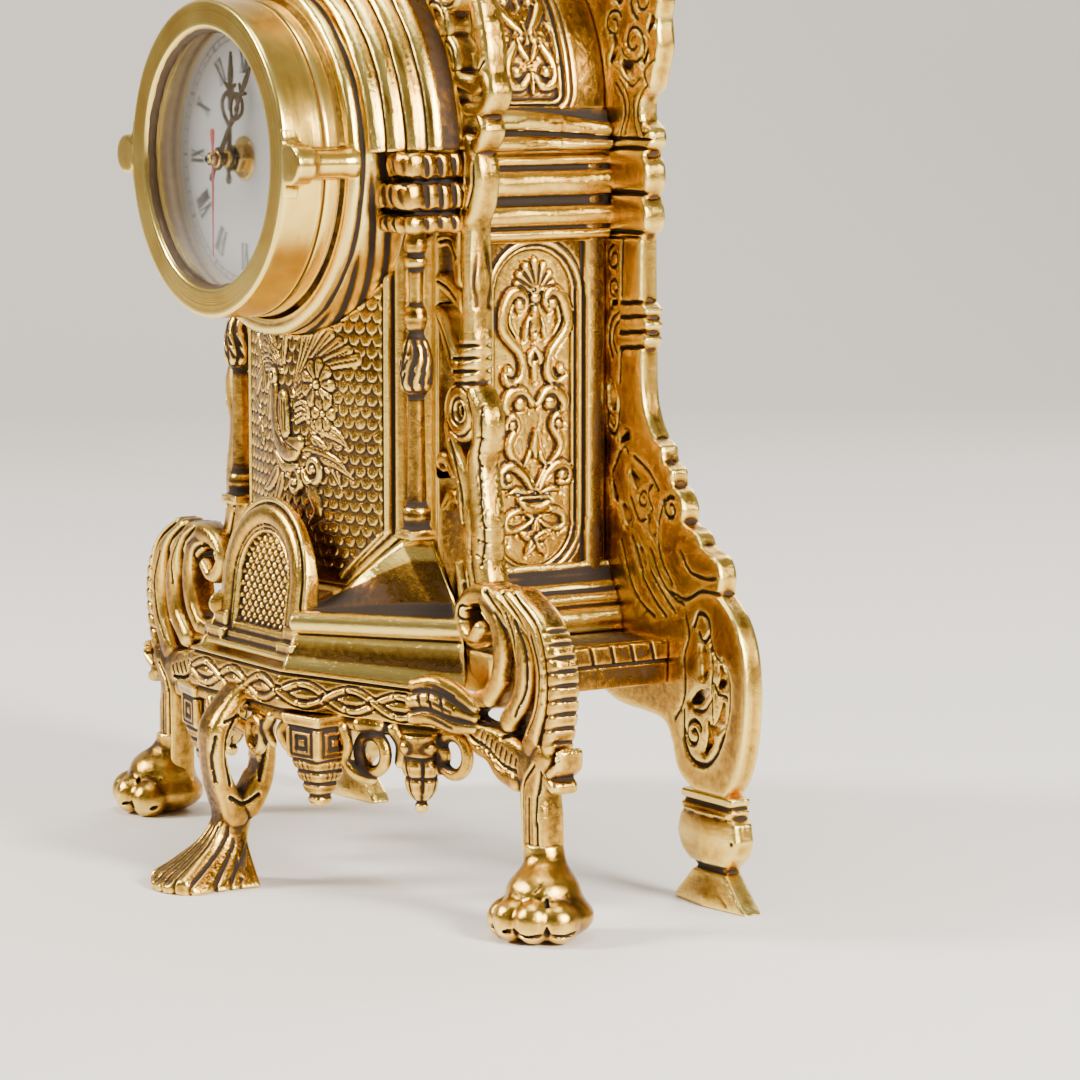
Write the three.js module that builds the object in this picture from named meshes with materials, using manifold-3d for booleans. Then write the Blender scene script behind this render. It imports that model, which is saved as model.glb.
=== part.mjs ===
// Mantel clock of cast brass on five feet, with a quartz movement behind a round dial.
// Millimetres. X runs to the clock's right as its face is seen, the face looks along -Y, Z is up.
// Y is measured from the plane of the front paws; the last lines centre the whole on its footprint.
import * as THREE from 'three';
import { mergeVertices } from 'three/addons/utils/BufferGeometryUtils.js';
import Module from 'manifold-3d';

const wasm = await Module();
wasm.setup();

// ---- Driving dimensions ----
const GAP = 0.3;                 // space left between pieces that touch
const TOTAL_HEIGHT = 420;
const DIAL_HEIGHT = 264.3;       // dial axis above the ground
const BEZEL_FRONT = -56.3;       // front face of the bezel
const BEZEL_RADIUS = 57;
const BEZEL_OPENING = 46;
const DRUM_DEPTH = 23.4;
const EAR_X = 61.3;              // centres of the two screw ears
const EAR_RADIUS = 6;
const COLLAR_RADIUS = 64;
const ARCH_RADIUS = 81;          // outermost arch moulding, about the dial axis
const WALL_X = 62;               // outer face of the side walls
const WALL = 3.5;                // usual wall of the castings
const FRONT_PLATE = 3;           // front face of the openwork wings
const WING_THICKNESS = 7.5;
const REAR_PLATE = 75;           // front face of the rear plate
const REAR_THICKNESS = 8;
const BASE_LOW = 77;
const BASE_HIGH = 92.7;
const BASE_HALF = 102.5;         // half width of the tray under the case
const VAULT_SPRING = 284;        // height where the side walls turn into the vault
const VAULT_RADIUS = 61;
const BAND_CORNER = [33, -45.5]; // where the front facet of the plinth turns to the side facet
const BAND_SIDE = [0.763, 0.646]; // direction of the side facet, going outwards and back
const FRONT_TOE = -79;           // front of the middle foot

const BRASS = { color: 0xb8903c, roughness: 0.35, metalness: 1 };
const BRIGHT = { color: 0xd9b45a, roughness: 0.22, metalness: 1 };
const PLASTIC = { color: 0x1b1b1c, roughness: 0.55, metalness: 0 };

const clock = new THREE.Group();
const works = new THREE.Group(); // everything measured from the dial axis
works.position.set(0, 0, DIAL_HEIGHT);
clock.add(works);

// ---- Solids ----

function signedVolume(position, index) {
  let sum = 0;
  const corners = [new THREE.Vector3(), new THREE.Vector3(), new THREE.Vector3()];
  for (let i = 0; i < index.length; i += 3) {
    corners.forEach((corner, k) => corner.fromArray(position, 3 * index[i + k]));
    sum += corners[0].dot(corners[1].clone().cross(corners[2]));
  }
  return sum / 6;
}

// A closed geometry as a solid whose corners are shared and whose faces look outwards.
function solid(geometry) {
  const bare = geometry.index ? geometry.toNonIndexed() : geometry.clone();
  bare.deleteAttribute('normal');
  bare.deleteAttribute('uv');
  const merged = mergeVertices(bare, 1e-4);
  const position = merged.attributes.position.array;
  const index = [];
  for (let i = 0; i < merged.index.count; i += 3) {
    const [a, b, c] = [0, 1, 2].map((k) => merged.index.getX(i + k));
    if (a !== b && b !== c && c !== a) index.push(a, b, c);
  }
  if (signedVolume(position, index) < 0) index.reverse();
  const mesh = new wasm.Mesh({
    numProp: 3,
    vertProperties: new Float32Array(position),
    triVerts: new Uint32Array(index),
  });
  return new wasm.Manifold(mesh);
}

function surface(body) {
  const mesh = body.getMesh();
  const geometry = new THREE.BufferGeometry();
  geometry.setAttribute('position', new THREE.BufferAttribute(mesh.vertProperties, 3));
  geometry.setIndex(new THREE.BufferAttribute(mesh.triVerts, 1));
  geometry.computeVertexNormals();
  return geometry;
}

const join = (...pieces) => pieces.map(solid).reduce((a, b) => a.add(b));
const cut = (piece, ...tools) => tools.map(solid).reduce((a, b) => a.subtract(b), solid(piece));

function add(name, body, look, parent = clock) {
  const mesh = new THREE.Mesh(surface(body), new THREE.MeshStandardMaterial(look));
  mesh.name = name;
  parent.add(mesh);
  return mesh;
}

// A piece on the clock's right and its mirror image on the left.
function addPair(name, body, look) {
  add(`${name}_right`, body, look);
  add(`${name}_left`, solid(surface(body).scale(-1, 1, 1)), look);
}

// ---- Forms ----

const outline = (points) => new THREE.Shape(points.map(([a, b]) => new THREE.Vector2(a, b)));
const oval = (x, y, a, b, sides) => Array.from({ length: sides }, (_, i) => {
  const angle = (2 * Math.PI * i) / sides;
  return [x + a * Math.cos(angle), y + b * Math.sin(angle)];
});
const circle = (x, y, r, sides) => oval(x, y, r, r, sides);

// Points of an arc, angles in degrees.
function arc(x, y, r, from, to, steps) {
  return Array.from({ length: steps + 1 }, (_, i) => {
    const angle = THREE.MathUtils.degToRad(from + ((to - from) * i) / steps);
    return [x + r * Math.cos(angle), y + r * Math.sin(angle)];
  });
}

// A smooth run of points through a few given ones.
function curve(points, steps) {
  const spline = new THREE.SplineCurve(points.map(([a, b]) => new THREE.Vector2(a, b)));
  return spline.getPoints(steps).map((p) => [p.x, p.y]);
}

function extrude(points, depth, holes = []) {
  const shape = outline(points);
  shape.holes = holes.map((hole) => outline(hole));
  return new THREE.ExtrudeGeometry(shape, { depth, bevelEnabled: false, curveSegments: 1 });
}

// An outline in X and Z, given thickness from y = near to y = far.
const plate = (points, near, far, holes) =>
  extrude(points, far - near, holes).rotateX(Math.PI / 2).translate(0, far, 0);

// An outline in Y and Z, from x = near to x = far.
function sidePlate(points, near, far, holes) {
  const axes = new THREE.Matrix4().makeBasis(
    new THREE.Vector3(0, 1, 0), new THREE.Vector3(0, 0, 1), new THREE.Vector3(1, 0, 0));
  return extrude(points, far - near, holes).applyMatrix4(axes).translate(near, 0, 0);
}

// An outline in X and Y, from z = low to z = high.
const slab = (points, low, high, holes) => extrude(points, high - low, holes).translate(0, 0, low);

const box = (low, high) => new THREE.BoxGeometry(...high.map((v, i) => v - low[i]))
  .translate(...high.map((v, i) => (v + low[i]) / 2));

const lathe = (profile, sides) =>
  new THREE.LatheGeometry(profile.map(([r, y]) => new THREE.Vector2(r, y)), sides);

// A closed ring or disc turned about the dial axis: [radius, y] pairs.
const turned = (profile, sides) => lathe([...profile, profile[0]], sides);
const disc = (r, near, far, sides = 24) => lathe([[0, near], [r, near], [r, far], [0, far]], sides);
const tube = (inner, outer, near, far, sides = 24) =>
  turned([[inner, near], [outer, near], [outer, far], [inner, far]], sides);

// A post turned about a vertical axis: [radius, z] pairs, from the axis to the axis.
const post = (profile, x, y, sides) => lathe(profile, sides).rotateX(Math.PI / 2).translate(x, y, 0);

// A skin over rings of points that correspond one to one, closed at both ends.
function loft(rings) {
  const count = rings[0].length;
  const flat = rings[0].map(([x, y]) => new THREE.Vector2(x, y));
  const cap = THREE.ShapeUtils.triangulateShape(flat, []);
  const index = [];
  for (let level = 0; level + 1 < rings.length; level += 1) {
    for (let i = 0; i < count; i += 1) {
      const a = level * count + i;
      const b = level * count + ((i + 1) % count);
      index.push(a, b, b + count, a, b + count, a + count);
    }
  }
  const top = (rings.length - 1) * count;
  cap.forEach(([a, b, c]) => index.push(c, b, a, top + a, top + b, top + c));
  const geometry = new THREE.BufferGeometry();
  geometry.setAttribute('position', new THREE.Float32BufferAttribute(rings.flat(2), 3));
  geometry.setIndex(index);
  return geometry;
}

// Right half of the three-sided plinth line, set in by d, up to the depth where it stops.
function facetHalf(d, stop) {
  const [dx, dy] = BAND_SIDE;
  const [cx, cy] = BAND_CORNER;
  const end = cx + (dx * (stop - cy) - d) / dy;
  const corner = [cx - (d * (1 - dx)) / dy, cy + d];
  return [corner, [end, stop]];
}

// A ring of the plinth casting at one level: outside set in by d, inside by the wall more.
function facetRing(z, d, inner, stop) {
  const outside = facetHalf(d, stop);
  const inside = facetHalf(inner, stop);
  const right = [...outside, ...inside.reverse()];
  const left = right.map(([x, y]) => [-x, y]).reverse();
  return [...right, ...left].map(([x, y]) => [x, y, z]);
}

// ---- Front of the case ----

const PANEL_HALF = 55;
const PANEL_EDGE = -9;
const PANEL_CROWN = 13;
const PANEL_FOOT = 111;
const PANEL_SHOULDER = 130;
const PANEL_TOP = 239.7;
const PANEL_BOW = (PANEL_HALF ** 2 + PANEL_CROWN ** 2) / (2 * PANEL_CROWN); // radius of the bow
const PANEL_CENTRE = PANEL_EDGE - PANEL_CROWN + PANEL_BOW;
const PANEL_SIDE = 59;           // half width of the returns beside the bow

// Bowed front panel, pointed at the foot and hollowed above to receive the collar.
function frontPanel() {
  const radius = PANEL_BOW;
  const centre = PANEL_CENTRE;
  const spread = THREE.MathUtils.radToDeg(Math.asin(PANEL_HALF / radius));
  const bow = (r) => arc(0, centre, r, 270 - spread, 270 + spread, 12);
  const back = FRONT_PLATE - GAP;
  const outside = [[-PANEL_SIDE, back], ...bow(radius), [PANEL_SIDE, back]];
  const inside = bow(radius - WALL).reverse();
  const wallBack = [[PANEL_SIDE - WALL, back], ...inside, [-PANEL_SIDE + WALL, back]];
  const shell = slab([...outside, ...wallBack], 100, PANEL_TOP);
  const foot = [[32, PANEL_FOOT], [56, PANEL_SHOULDER], [70, PANEL_SHOULDER], [70, 90], [32, 90]];
  const mirrored = foot.map(([x, z]) => [-x, z]);
  const below = box([-33, -40, 90], [33, 10, PANEL_FOOT]);
  const collar = disc(COLLAR_RADIUS + GAP, -60, 10, 32).translate(0, 0, DIAL_HEIGHT);
  return cut(shell, plate(foot, -40, 10), plate(mirrored, -40, 10), below, collar);
}

const DOOR_RADIUS = 29;
const DOOR_CENTRE = 110;
const DOOR_FRONT = -34;
const DOOR_BACK = -28;
const PLINTH_INNER = 22;         // inside of the plinth casting, set in from the band line
const DOOR_LEAN = 0.12;          // how far the door leans back for each unit of height

const leaning = (geometry) => geometry.applyMatrix4(
  new THREE.Matrix4().set(1, 0, 0, 0, 0, 1, DOOR_LEAN, -DOOR_LEAN * DOOR_CENTRE, 0, 0, 1, 0, 0, 0, 0, 1));

const doorOutline = (grow) => [
  [-DOOR_RADIUS - grow, 84 - grow], [DOOR_RADIUS + grow, 84 - grow],
  ...arc(0, DOOR_CENTRE, DOOR_RADIUS + grow, 0, 180, 14)];

// Arched false door with two raised rings, on a stepped sill.
function archDoor() {
  const frame = leaning(plate(doorOutline(0), DOOR_FRONT, DOOR_BACK, [
    [[-19, 99], [19, 99], ...arc(0, DOOR_CENTRE, 19, 0, 180, 12)]]));
  const lattice = leaning(plate([[-20, 98], [20, 98], ...arc(0, DOOR_CENTRE, 20, 0, 180, 12)], -31, DOOR_BACK));
  const sill = box([-DOOR_RADIUS, -42, 84], [DOOR_RADIUS, DOOR_BACK, 90]);
  const step = box([-DOOR_RADIUS + 2, -39.5, 89], [DOOR_RADIUS - 2, DOOR_BACK, 96]);
  return join(frame, lattice, sill, step);
}

// Plinth: hollow moulding, round, and sloping top that rises to the panel's shoulders.
function plinth() {
  const stop = -1;
  const levels = [[83.4, 3], [88, 6], [94, 9.5], [95.5, 6.5], [98.5, 5.8], [101.5, 6.5], [103.5, 10]];
  const rings = levels.map(([z, d]) => facetRing(z, d, PLINTH_INNER, stop));
  const slope = facetRing(PANEL_FOOT - 0.6, 20.5, 24, stop);
  const body = loft([...rings, slope]);
  const wedge = loft([
    [[34, -19, 104], [75, -1, 104], [62, -1, 104], [34, -14, 104]],
    [[34, -18.5, PANEL_FOOT], [72, -1, 113], [61, -1, 113], [34, -13, PANEL_FOOT]],
    [[50, -12.4, 126], [67, -1, 130.4], [60.5, -1, 130.4], [50, -9, 126]]]);
  const other = wedge.clone().scale(-1, 1, 1);
  const roomForPanel = slab([
    ...arc(0, PANEL_CENTRE, PANEL_BOW + GAP, 243, 297, 12), [PANEL_SIDE + GAP, 3], [-PANEL_SIDE - GAP, 3]],
  PANEL_FOOT - GAP, 240);
  const door = leaning(plate(doorOutline(GAP), -50, DOOR_BACK + GAP));
  const sill = box([-DOOR_RADIUS - GAP, -50, 83], [DOOR_RADIUS + GAP, DOOR_BACK + GAP, 96.4]);
  return join(body, wedge, other).subtract(solid(roomForPanel)).subtract(solid(door))
    .subtract(solid(sill));
}

// Rail with the braided band and one openwork ring below each side facet.
// Its ends drop a little towards the legs.
function bandRail() {
  const sag = (ring) => ring.map(([x, y, z]) => [x, y, z - 5 * Math.max(0, (Math.abs(x) - 33) / 47)]);
  const rail = loft([[66.5, 1.5], [69, 0], [80.5, 0], [83, 1.5]].map(([z, d]) => sag(facetRing(z, d, 9, -6))));
  const scroll = surface(apronScroll());
  return join(rail, scroll, scroll.clone().scale(-1, 1, 1));
}

// Square pendant with a stepped point, near the corner of the apron.
function cornerPendant() {
  const steps = [[64, 9], [49, 9], [49, 8], [45, 8], [45, 6.6], [41, 6.6], [41, 5], [37, 4.4], [34.5, 2.6]];
  const profile = steps.map(([z, half]) => [half * Math.SQRT2, z]);
  return solid(lathe([[0, 64], ...profile, [0, 34.5]], 4).rotateX(Math.PI / 2)
    .rotateZ(Math.PI / 4 + 0.19).translate(41, -34, 0));
}

// Narrow pendant with a leaf-shaped drop.
function dropPendant() {
  const face = [[-8, 62.4], [8, 61], [7, 52], [8, 50], [7.5, 45], [3, 36], [0, 33], [-3, 36], [-7.5, 45],
    [-8, 50], [-7, 52]];
  return solid(plate(face, -14.2, -4).translate(70.5, 0, 0));
}

// Openwork ring between the two pendants, in the plane of the side facet.
function apronScroll() {
  const ring = plate(circle(0, 54, 8.2, 14), -3, 3, [circle(0, 54, 5, 10)]);
  const tie = box([-7, -3, 61.5], [7, 3, 67]);
  return solid(surface(join(ring, tie)).rotateZ(Math.atan2(BAND_SIDE[1], BAND_SIDE[0]))
    .translate(57.2, -22.4, 0));
}

// Middle front leg: a pierced scroll bracket, a narrow ankle and a splayed foot.
function middleLeg() {
  const bracket = [...curve([[-46, 66], [-54.5, 62], [-57.5, 50], [-53, 36], [-49, 27], [-56, 14], [-66, 7]], 14),
    ...curve([[-52, 6], [-43, 14], [-40, 26], [-33, 31], [-31, 44], [-31, 58], [-31, 66]], 12)];
  const eye = circle(-43, 47, 7.5, 12);
  const leg = sidePlate(bracket, -7, 7, [eye]);
  const foot = post([[0, 0], [17, 0], [17, 2.2], [12, 5], [7, 8], [0, 8]], 0, 0, 18)
    .translate(0, FRONT_TOE + 17, 0);
  return join(leg, foot);
}

const LEG_FRONT = -5;
const LEG_BACK = 6;                // beyond the base plate, where the leg is thicker
const PAW_X = 142.5;
const PAW_Y = -2;
const PAW_LEAN = 0.25;           // how far a level of the paw shifts inwards for each unit of height
const PAW_LEVELS = [[0, 15.5, 16], [5, 17.3, 18], [13, 16, 16.5], [19, 11, 12], [25, 6.5, 7.5]];

// Corner leg: scroll with an eye, a knee, a slim shank and a lion's paw.
function frontLeg() {
  const outer = [[104, 120.5], [124, 117], [141, 108], [149.5, 94], [150, 76], [147, 62], [147, 53], [142.5, 46],
    [142.5, 30], [145, 16]];
  const inner = [[130, 16], [127.5, 30], [124, 46], [116, 54], [104, 56], [96, 62], [88, 66], [84, 76], [93, 82],
    [106, 74], [112, 84], [112, 97], [103, 106], [95, 104], [92, 98], [83, 101], [84, 111], [94, 118.5]];
  const outline = [...curve(outer, 20), ...curve(inner, 34)];
  const front = plate(outline, LEG_FRONT, FRONT_PLATE - GAP);
  const back = cut(plate(outline, 0, LEG_BACK), box([60, -1, 0], [104.5, 10, 130]));
  const paw = loft(PAW_LEVELS.map(([z, a, b]) =>
    oval(PAW_X - z * PAW_LEAN, PAW_Y, a, b, 14).map(([x, y]) => [x, y, z])));
  return join(front, paw).add(back);
}

// Openwork wing that follows the case wall up and around the arch.
function wing() {
  const edge = curve([[80, 93.2], [97, 104], [94, 118], [91, 133], [94, 151], [97, 170], [90, 184], [89.5, 205],
    [90.5, 222], [89, 240], [82, 262], [84, 272], [90, 283], [95, 297], [94, 310], [86, 322], [80, 334],
    [66, 345], [56.5, 349]], 36);
  const arch = arc(0, VAULT_SPRING, VAULT_RADIUS + 1.3, 48, 3, 8);
  const inside = [[WALL_X + 5.5, 266], [WALL_X + 5.5, 235], [WALL_X + GAP, 234], [WALL_X + GAP, 119],
    [74, 93.2]];
  const holes = [circle(76, 214, 5, 8), circle(76, 196, 5, 8), circle(76, 166, 6, 8), circle(77, 143, 6, 8),
    circle(76.5, 303, 5.5, 8), circle(70, 325, 5.5, 8), circle(79, 124, 5, 8)];
  return solid(plate([...edge, ...arch, ...inside], FRONT_PLATE, FRONT_PLATE + WING_THICKNESS, holes));
}

// Turned column between the panel and the wing.
function column() {
  return solid(post([[0, 131], [7.4, 131], [7.4, 134], [5.5, 136], [6.5, 140], [5.5, 143], [4.2, 148], [3.6, 190],
    [3.4, 226], [5.4, 229], [3.4, 231], [5, 234.5], [4.6, 238], [0, 239.7]], 64.5, -7.2, 12));
}

// Capital of three wavy layers that carries the arch.
function cornerCapital() {
  const layers = [[240, 247, 0], [247, 251, 3], [251, 258, -0.5], [258, 261.5, 3], [261.5, 268, 0]];
  const blocks = layers.map(([low, high, inset]) =>
    box([50, -20 + inset, low - 0.01], [80.5 - inset, FRONT_PLATE - GAP, high]));
  const collar = disc(COLLAR_RADIUS + GAP, -60, 20, 32).translate(0, 0, DIAL_HEIGHT);
  const ear = disc(EAR_RADIUS + GAP, -60, 20, 16).translate(EAR_X, 0, DIAL_HEIGHT);
  return join(...blocks).subtract(solid(collar)).subtract(solid(ear));
}

// Four rounded ridges about the dial axis, from capital to capital.
function archMoulding() {
  const front = [[66, -27], [67.5, -27.6], [69, -24.5], [70.5, -23.6], [72.5, -18.5], [74, -18.6], [76, -12.6],
    [78.5, -12.4], [ARCH_RADIUS, -8]];
  const back = [[ARCH_RADIUS, FRONT_PLATE - GAP], [76, FRONT_PLATE - GAP], [73, -8], [69, -16],
    [COLLAR_RADIUS + GAP, -21], [COLLAR_RADIUS + GAP, -26.5]];
  const ring = turned([...front, ...back], 32);
  const lower = box([-90, -40, -90], [90, 10, 268.3 - DIAL_HEIGHT]);
  const ears = [-EAR_X, EAR_X].map((x) => disc(EAR_RADIUS + GAP, -60, 20, 16).translate(x, 0, 0));
  const body = cut(ring, lower, ...ears);
  return solid(surface(body).translate(0, 0, DIAL_HEIGHT));
}

// Ring casting that the bezel bolts to, hollow behind, with a screw ear on each side.
function collar() {
  const seat = BEZEL_FRONT + DRUM_DEPTH + GAP;
  const ring = turned([[44, seat], [BEZEL_RADIUS + 0.5, seat], [60.5, -29.5], [63, -27.5],
    [COLLAR_RADIUS, -25], [COLLAR_RADIUS, -8], [55, -8], [55, -28], [44, -28]], 32);
  const ears = [-EAR_X, EAR_X].map((x) => disc(EAR_RADIUS, seat, -8, 16).translate(x, 0, 0));
  const bores = [-EAR_X, EAR_X].map((x) => disc(2.4, -60, 0, 12).translate(x, 0, 0));
  const body = join(ring, ...ears).subtract(solid(bores[0])).subtract(solid(bores[1]));
  return solid(surface(body).translate(0, 0, DIAL_HEIGHT));
}

// Raised crest over the arch, a guess at what crowns the front.
function crest() {
  const half = curve([[54.3, 351], [50, 362], [38, 366], [36, 376], [26, 381], [22, 392], [10, 399], [7, 402]], 16);
  const other = half.map(([x, z]) => [-x, z]).reverse();
  const under = arc(0, VAULT_SPRING, VAULT_RADIUS + 1.3, 129, 51, 10);
  const eyes = [circle(0, 370, 9, 12), circle(26, 364, 4.5, 8), circle(-26, 364, 4.5, 8)];
  return solid(plate([...half, ...other, ...under], FRONT_PLATE, FRONT_PLATE + WING_THICKNESS, eyes));
}

function finial() {
  return solid(post([[0, 402.3], [6.5, 402.3], [5, 404.5], [2.6, 406], [6, 410], [6.4, 412.5], [3, 416],
    [1.6, 418.5], [0, TOTAL_HEIGHT]], 0, FRONT_PLATE + WING_THICKNESS / 2, 14));
}

// ---- Sides, base and back ----

const PANEL_NEAR = 26;           // recessed side panel, front to back
const PANEL_FAR = 62;

function sideWall() {
  const wall = sidePlate([[FRONT_PLATE, 93], [REAR_PLATE - GAP, 93], [REAR_PLATE - GAP, 265], [FRONT_PLATE, 265]],
    WALL_X - WALL, WALL_X);
  const mid = (PANEL_NEAR + PANEL_FAR) / 2;
  const half = (PANEL_FAR - PANEL_NEAR) / 2;
  const pocket = sidePlate([...arc(mid, 215, half, 0, 180, 12), ...arc(PANEL_NEAR + 6, 122, 6, 180, 270, 3),
    ...arc(PANEL_FAR - 6, 122, 6, 270, 360, 3)], WALL_X - 1.8, WALL_X + 5);
  return cut(wall, pocket);
}

const alongWall = (profile) => plate(profile, FRONT_PLATE + WING_THICKNESS + GAP, REAR_PLATE - GAP);

function sidePlinth() {
  const x = WALL_X + GAP;
  return solid(alongWall([[x, 93], [73, 93], [73, 101], [69, 103], [69, 108.5], [66, 111], [64, 115], [x, 118]]));
}

function sideCornice() {
  const x = WALL_X + GAP;
  return solid(alongWall([[x, 234], [64.5, 235], [65, 238.5], [67, 240.5], [67, 246], [64.5, 249], [66.8, 251],
    [67.2, 258], [65, 261.5], [65, 265], [x, 266]]));
}

// Upper walls and barrel vault in one shell.
function vault() {
  const outside = [[WALL_X, 265.3], ...arc(0, VAULT_SPRING, VAULT_RADIUS, 0, 180, 24), [-WALL_X, 265.3]];
  const inside = [[-WALL_X + WALL, 265.3], ...arc(0, VAULT_SPRING, VAULT_RADIUS - WALL, 180, 0, 24),
    [WALL_X - WALL, 265.3]];
  return solid(plate([...outside, ...inside], FRONT_PLATE, REAR_PLATE - GAP));
}

// Tray under the case, with a dentil rim at its sides.
function basePlate() {
  const half = BASE_HALF;
  const inner = BASE_HALF - WALL;
  const back = REAR_PLATE - GAP;
  const tongue = facetHalf(PLINTH_INNER + GAP, FRONT_PLATE);
  const otherTongue = tongue.map(([x, y]) => [-x, y]).reverse();
  const top = slab([[half, FRONT_PLATE], [half, back], [-half, back], [-half, FRONT_PLATE],
    ...otherTongue, ...tongue], BASE_HIGH - WALL, BASE_HIGH);
  const rim = slab([[half, FRONT_PLATE], [half, back], [-half, back], [-half, FRONT_PLATE]], BASE_LOW,
    BASE_HIGH - WALL + 0.01, [[[inner, FRONT_PLATE + WALL], [inner, back - WALL], [-inner, back - WALL],
      [-inner, FRONT_PLATE + WALL]]]);
  return join(top, rim);
}

const ACCESS_HALF = 47;          // half width of the opening in the back
const ACCESS_LOW = 112;
const ACCESS_SPRING = 268;

// Pierced back plate with a round-topped opening to reach the battery and the setting knob.
function rearPlate() {
  const right = [
    ...curve([[0, 66], [20, 63], [45, 74], [70, 66], [100, 64], [108, 48]], 9),
    [112, 41], [143, 41],
    ...curve([[143, 42], [147.5, 60], [149, 82], [147, 99], [141, 110], [131, 114]], 8),
    ...curve([[131, 120], [120, 127], [119, 136], [110, 140], [107, 148], [100, 156], [91, 168], [85, 179]], 11),
    [84.5, 208], [87, 209], [87, 222], [84.5, 223], [84.5, 262],
    ...curve([[87, 264], [84, 270], [86, 285], [91, 299], [93, 313], [88, 324], [80, 332], [76, 344], [62, 352],
      [54, 364], [38, 368], [30, 382], [14, 388], [0, 396]], 20)];
  const left = right.slice(1, -1).map(([x, z]) => [-x, z]).reverse();
  const opening = [[-ACCESS_HALF, ACCESS_LOW], [ACCESS_HALF, ACCESS_LOW],
    ...arc(0, ACCESS_SPRING, ACCESS_HALF, 0, 180, 16)];
  const eyes = [[127, 88, 8], [126, 66, 6], [74, 303, 6], [66, 324, 6], [73, 196, 5], [73, 166, 6], [92, 140, 6],
    [75, 240, 5]].flatMap(([x, z, r]) => [circle(x, z, r, 6), circle(-x, z, r, 6)]);
  eyes.push(circle(0, 364, 9, 10));
  return solid(plate([...right, ...left], REAR_PLATE, REAR_PLATE + REAR_THICKNESS, [opening, ...eyes]));
}

// Lower end of a rear leg: ring, bulb and flared foot.
function rearFoot() {
  const outer = curve([[143, 40.7], [142, 37], [137, 34], [144, 28], [144.5, 20], [139, 13], [143, 7], [151, 0]], 16);
  const inner = curve([[106, 0], [113, 8], [117, 13], [111.5, 20], [112, 28], [119, 34], [113, 37], [112, 40.7]], 16);
  return solid(plate([...outer, ...inner], REAR_PLATE, REAR_PLATE + REAR_THICKNESS));
}

// ---- Bezel, glass, dial and hands, measured from the dial axis ----

const GLASS_RIM = BEZEL_FRONT + 4.4;
const DIAL_FACE = BEZEL_FRONT + 17;
const MOVEMENT_FRONT = DIAL_FACE + 1.3;
const HOUR_PLANE = -45.6;
const MINUTE_PLANE = -49.9;
const SECOND_PLANE = -52.2;

function bezel() {
  const back = BEZEL_FRONT + DRUM_DEPTH;
  const cup = turned([[BEZEL_OPENING, BEZEL_FRONT], [BEZEL_RADIUS, BEZEL_FRONT], [BEZEL_RADIUS, back],
    [53, back], [53, GLASS_RIM - GAP], [BEZEL_OPENING, GLASS_RIM - GAP]], 36);
  const ears = [-EAR_X, EAR_X].flatMap((x) => [
    disc(EAR_RADIUS, BEZEL_FRONT + 1, back, 16).translate(x, 0, 0),
    disc(EAR_RADIUS + 1.5, BEZEL_FRONT, BEZEL_FRONT + 2.5, 16).translate(x * 0.985, 0, 0)]);
  const well = disc(53, GLASS_RIM - GAP, 0, 36);
  const bores = [-EAR_X, EAR_X].map((x) => disc(2.4, -47, 0, 12).translate(x, 0, 0));
  const opening = disc(BEZEL_OPENING, -70, 0, 36);
  return join(cup, ...ears).subtract(solid(well)).subtract(solid(opening))
    .subtract(solid(bores[0])).subtract(solid(bores[1]));
}

// Domed crystal of even thickness.
function glass() {
  const dome = (r, y) => [r, y - 4.1 * (1 - (r / 45.5) ** 4)];
  const radii = [45.5, 38, 27, 13, 0];
  const outer = radii.map((r) => dome(r, GLASS_RIM));
  const inner = radii.map((r) => dome(r, GLASS_RIM + 1.6)).reverse();
  return solid(lathe([...inner, [49.5, GLASS_RIM + 1.6], [49.5, GLASS_RIM], ...outer], 28));
}

const screwX = [['right', EAR_X], ['left', -EAR_X]];
const bezelScrew = () => solid(lathe([[0, -46.5], [2, -46.5], [2, -7.7], [4.4, -7.7], [4.4, -5.2], [0, -5.2]], 12));

// Flat hand in X and Z with its hub, pointing at twelve until it is turned.
function hand(blade, hub, bore, plane, thickness, turn) {
  const flat = plate(blade, plane, plane + thickness);
  const boss = bore > 0 ? tube(bore, hub, plane - 0.4, plane + thickness + 0.4, 12)
    : disc(hub, plane - 0.8, plane + thickness + 0.4, 12);
  const whole = bore > 0 ? join(flat, boss).subtract(solid(disc(bore, -70, 0, 12))) : join(flat, boss);
  return solid(surface(whole).rotateY(THREE.MathUtils.degToRad(turn)));
}

const mirrorBlade = (half) => [...half, ...half.map(([x, z]) => [-x, z]).reverse()];
const HOUR_BLADE = mirrorBlade([[1.6, -3], [1.8, 4], [3.6, 9], [1.6, 13], [1.4, 19], [4.4, 26], [1.8, 31], [0.4, 38]]);
const MINUTE_BLADE = mirrorBlade([[1.4, -7], [1.2, 9], [2.6, 16], [1.1, 21], [1.1, 28], [2.6, 33], [0.9, 37],
  [0.3, 43]]);
const SECOND_BLADE = mirrorBlade([[0.7, -9.8], [0.6, 0], [0.35, 35]]);

// ---- Quartz movement, measured from the dial axis ----

const MOVEMENT_HALF = 28;
const MOVEMENT_BACK = -22.3;
const LAYER = 1.6;               // from one gear plane to the next
const GEAR = 1.2;                // thickness of a gear
const firstPlane = MOVEMENT_FRONT + 1.4;
const plane = (layer) => firstPlane + LAYER * layer;

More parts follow.
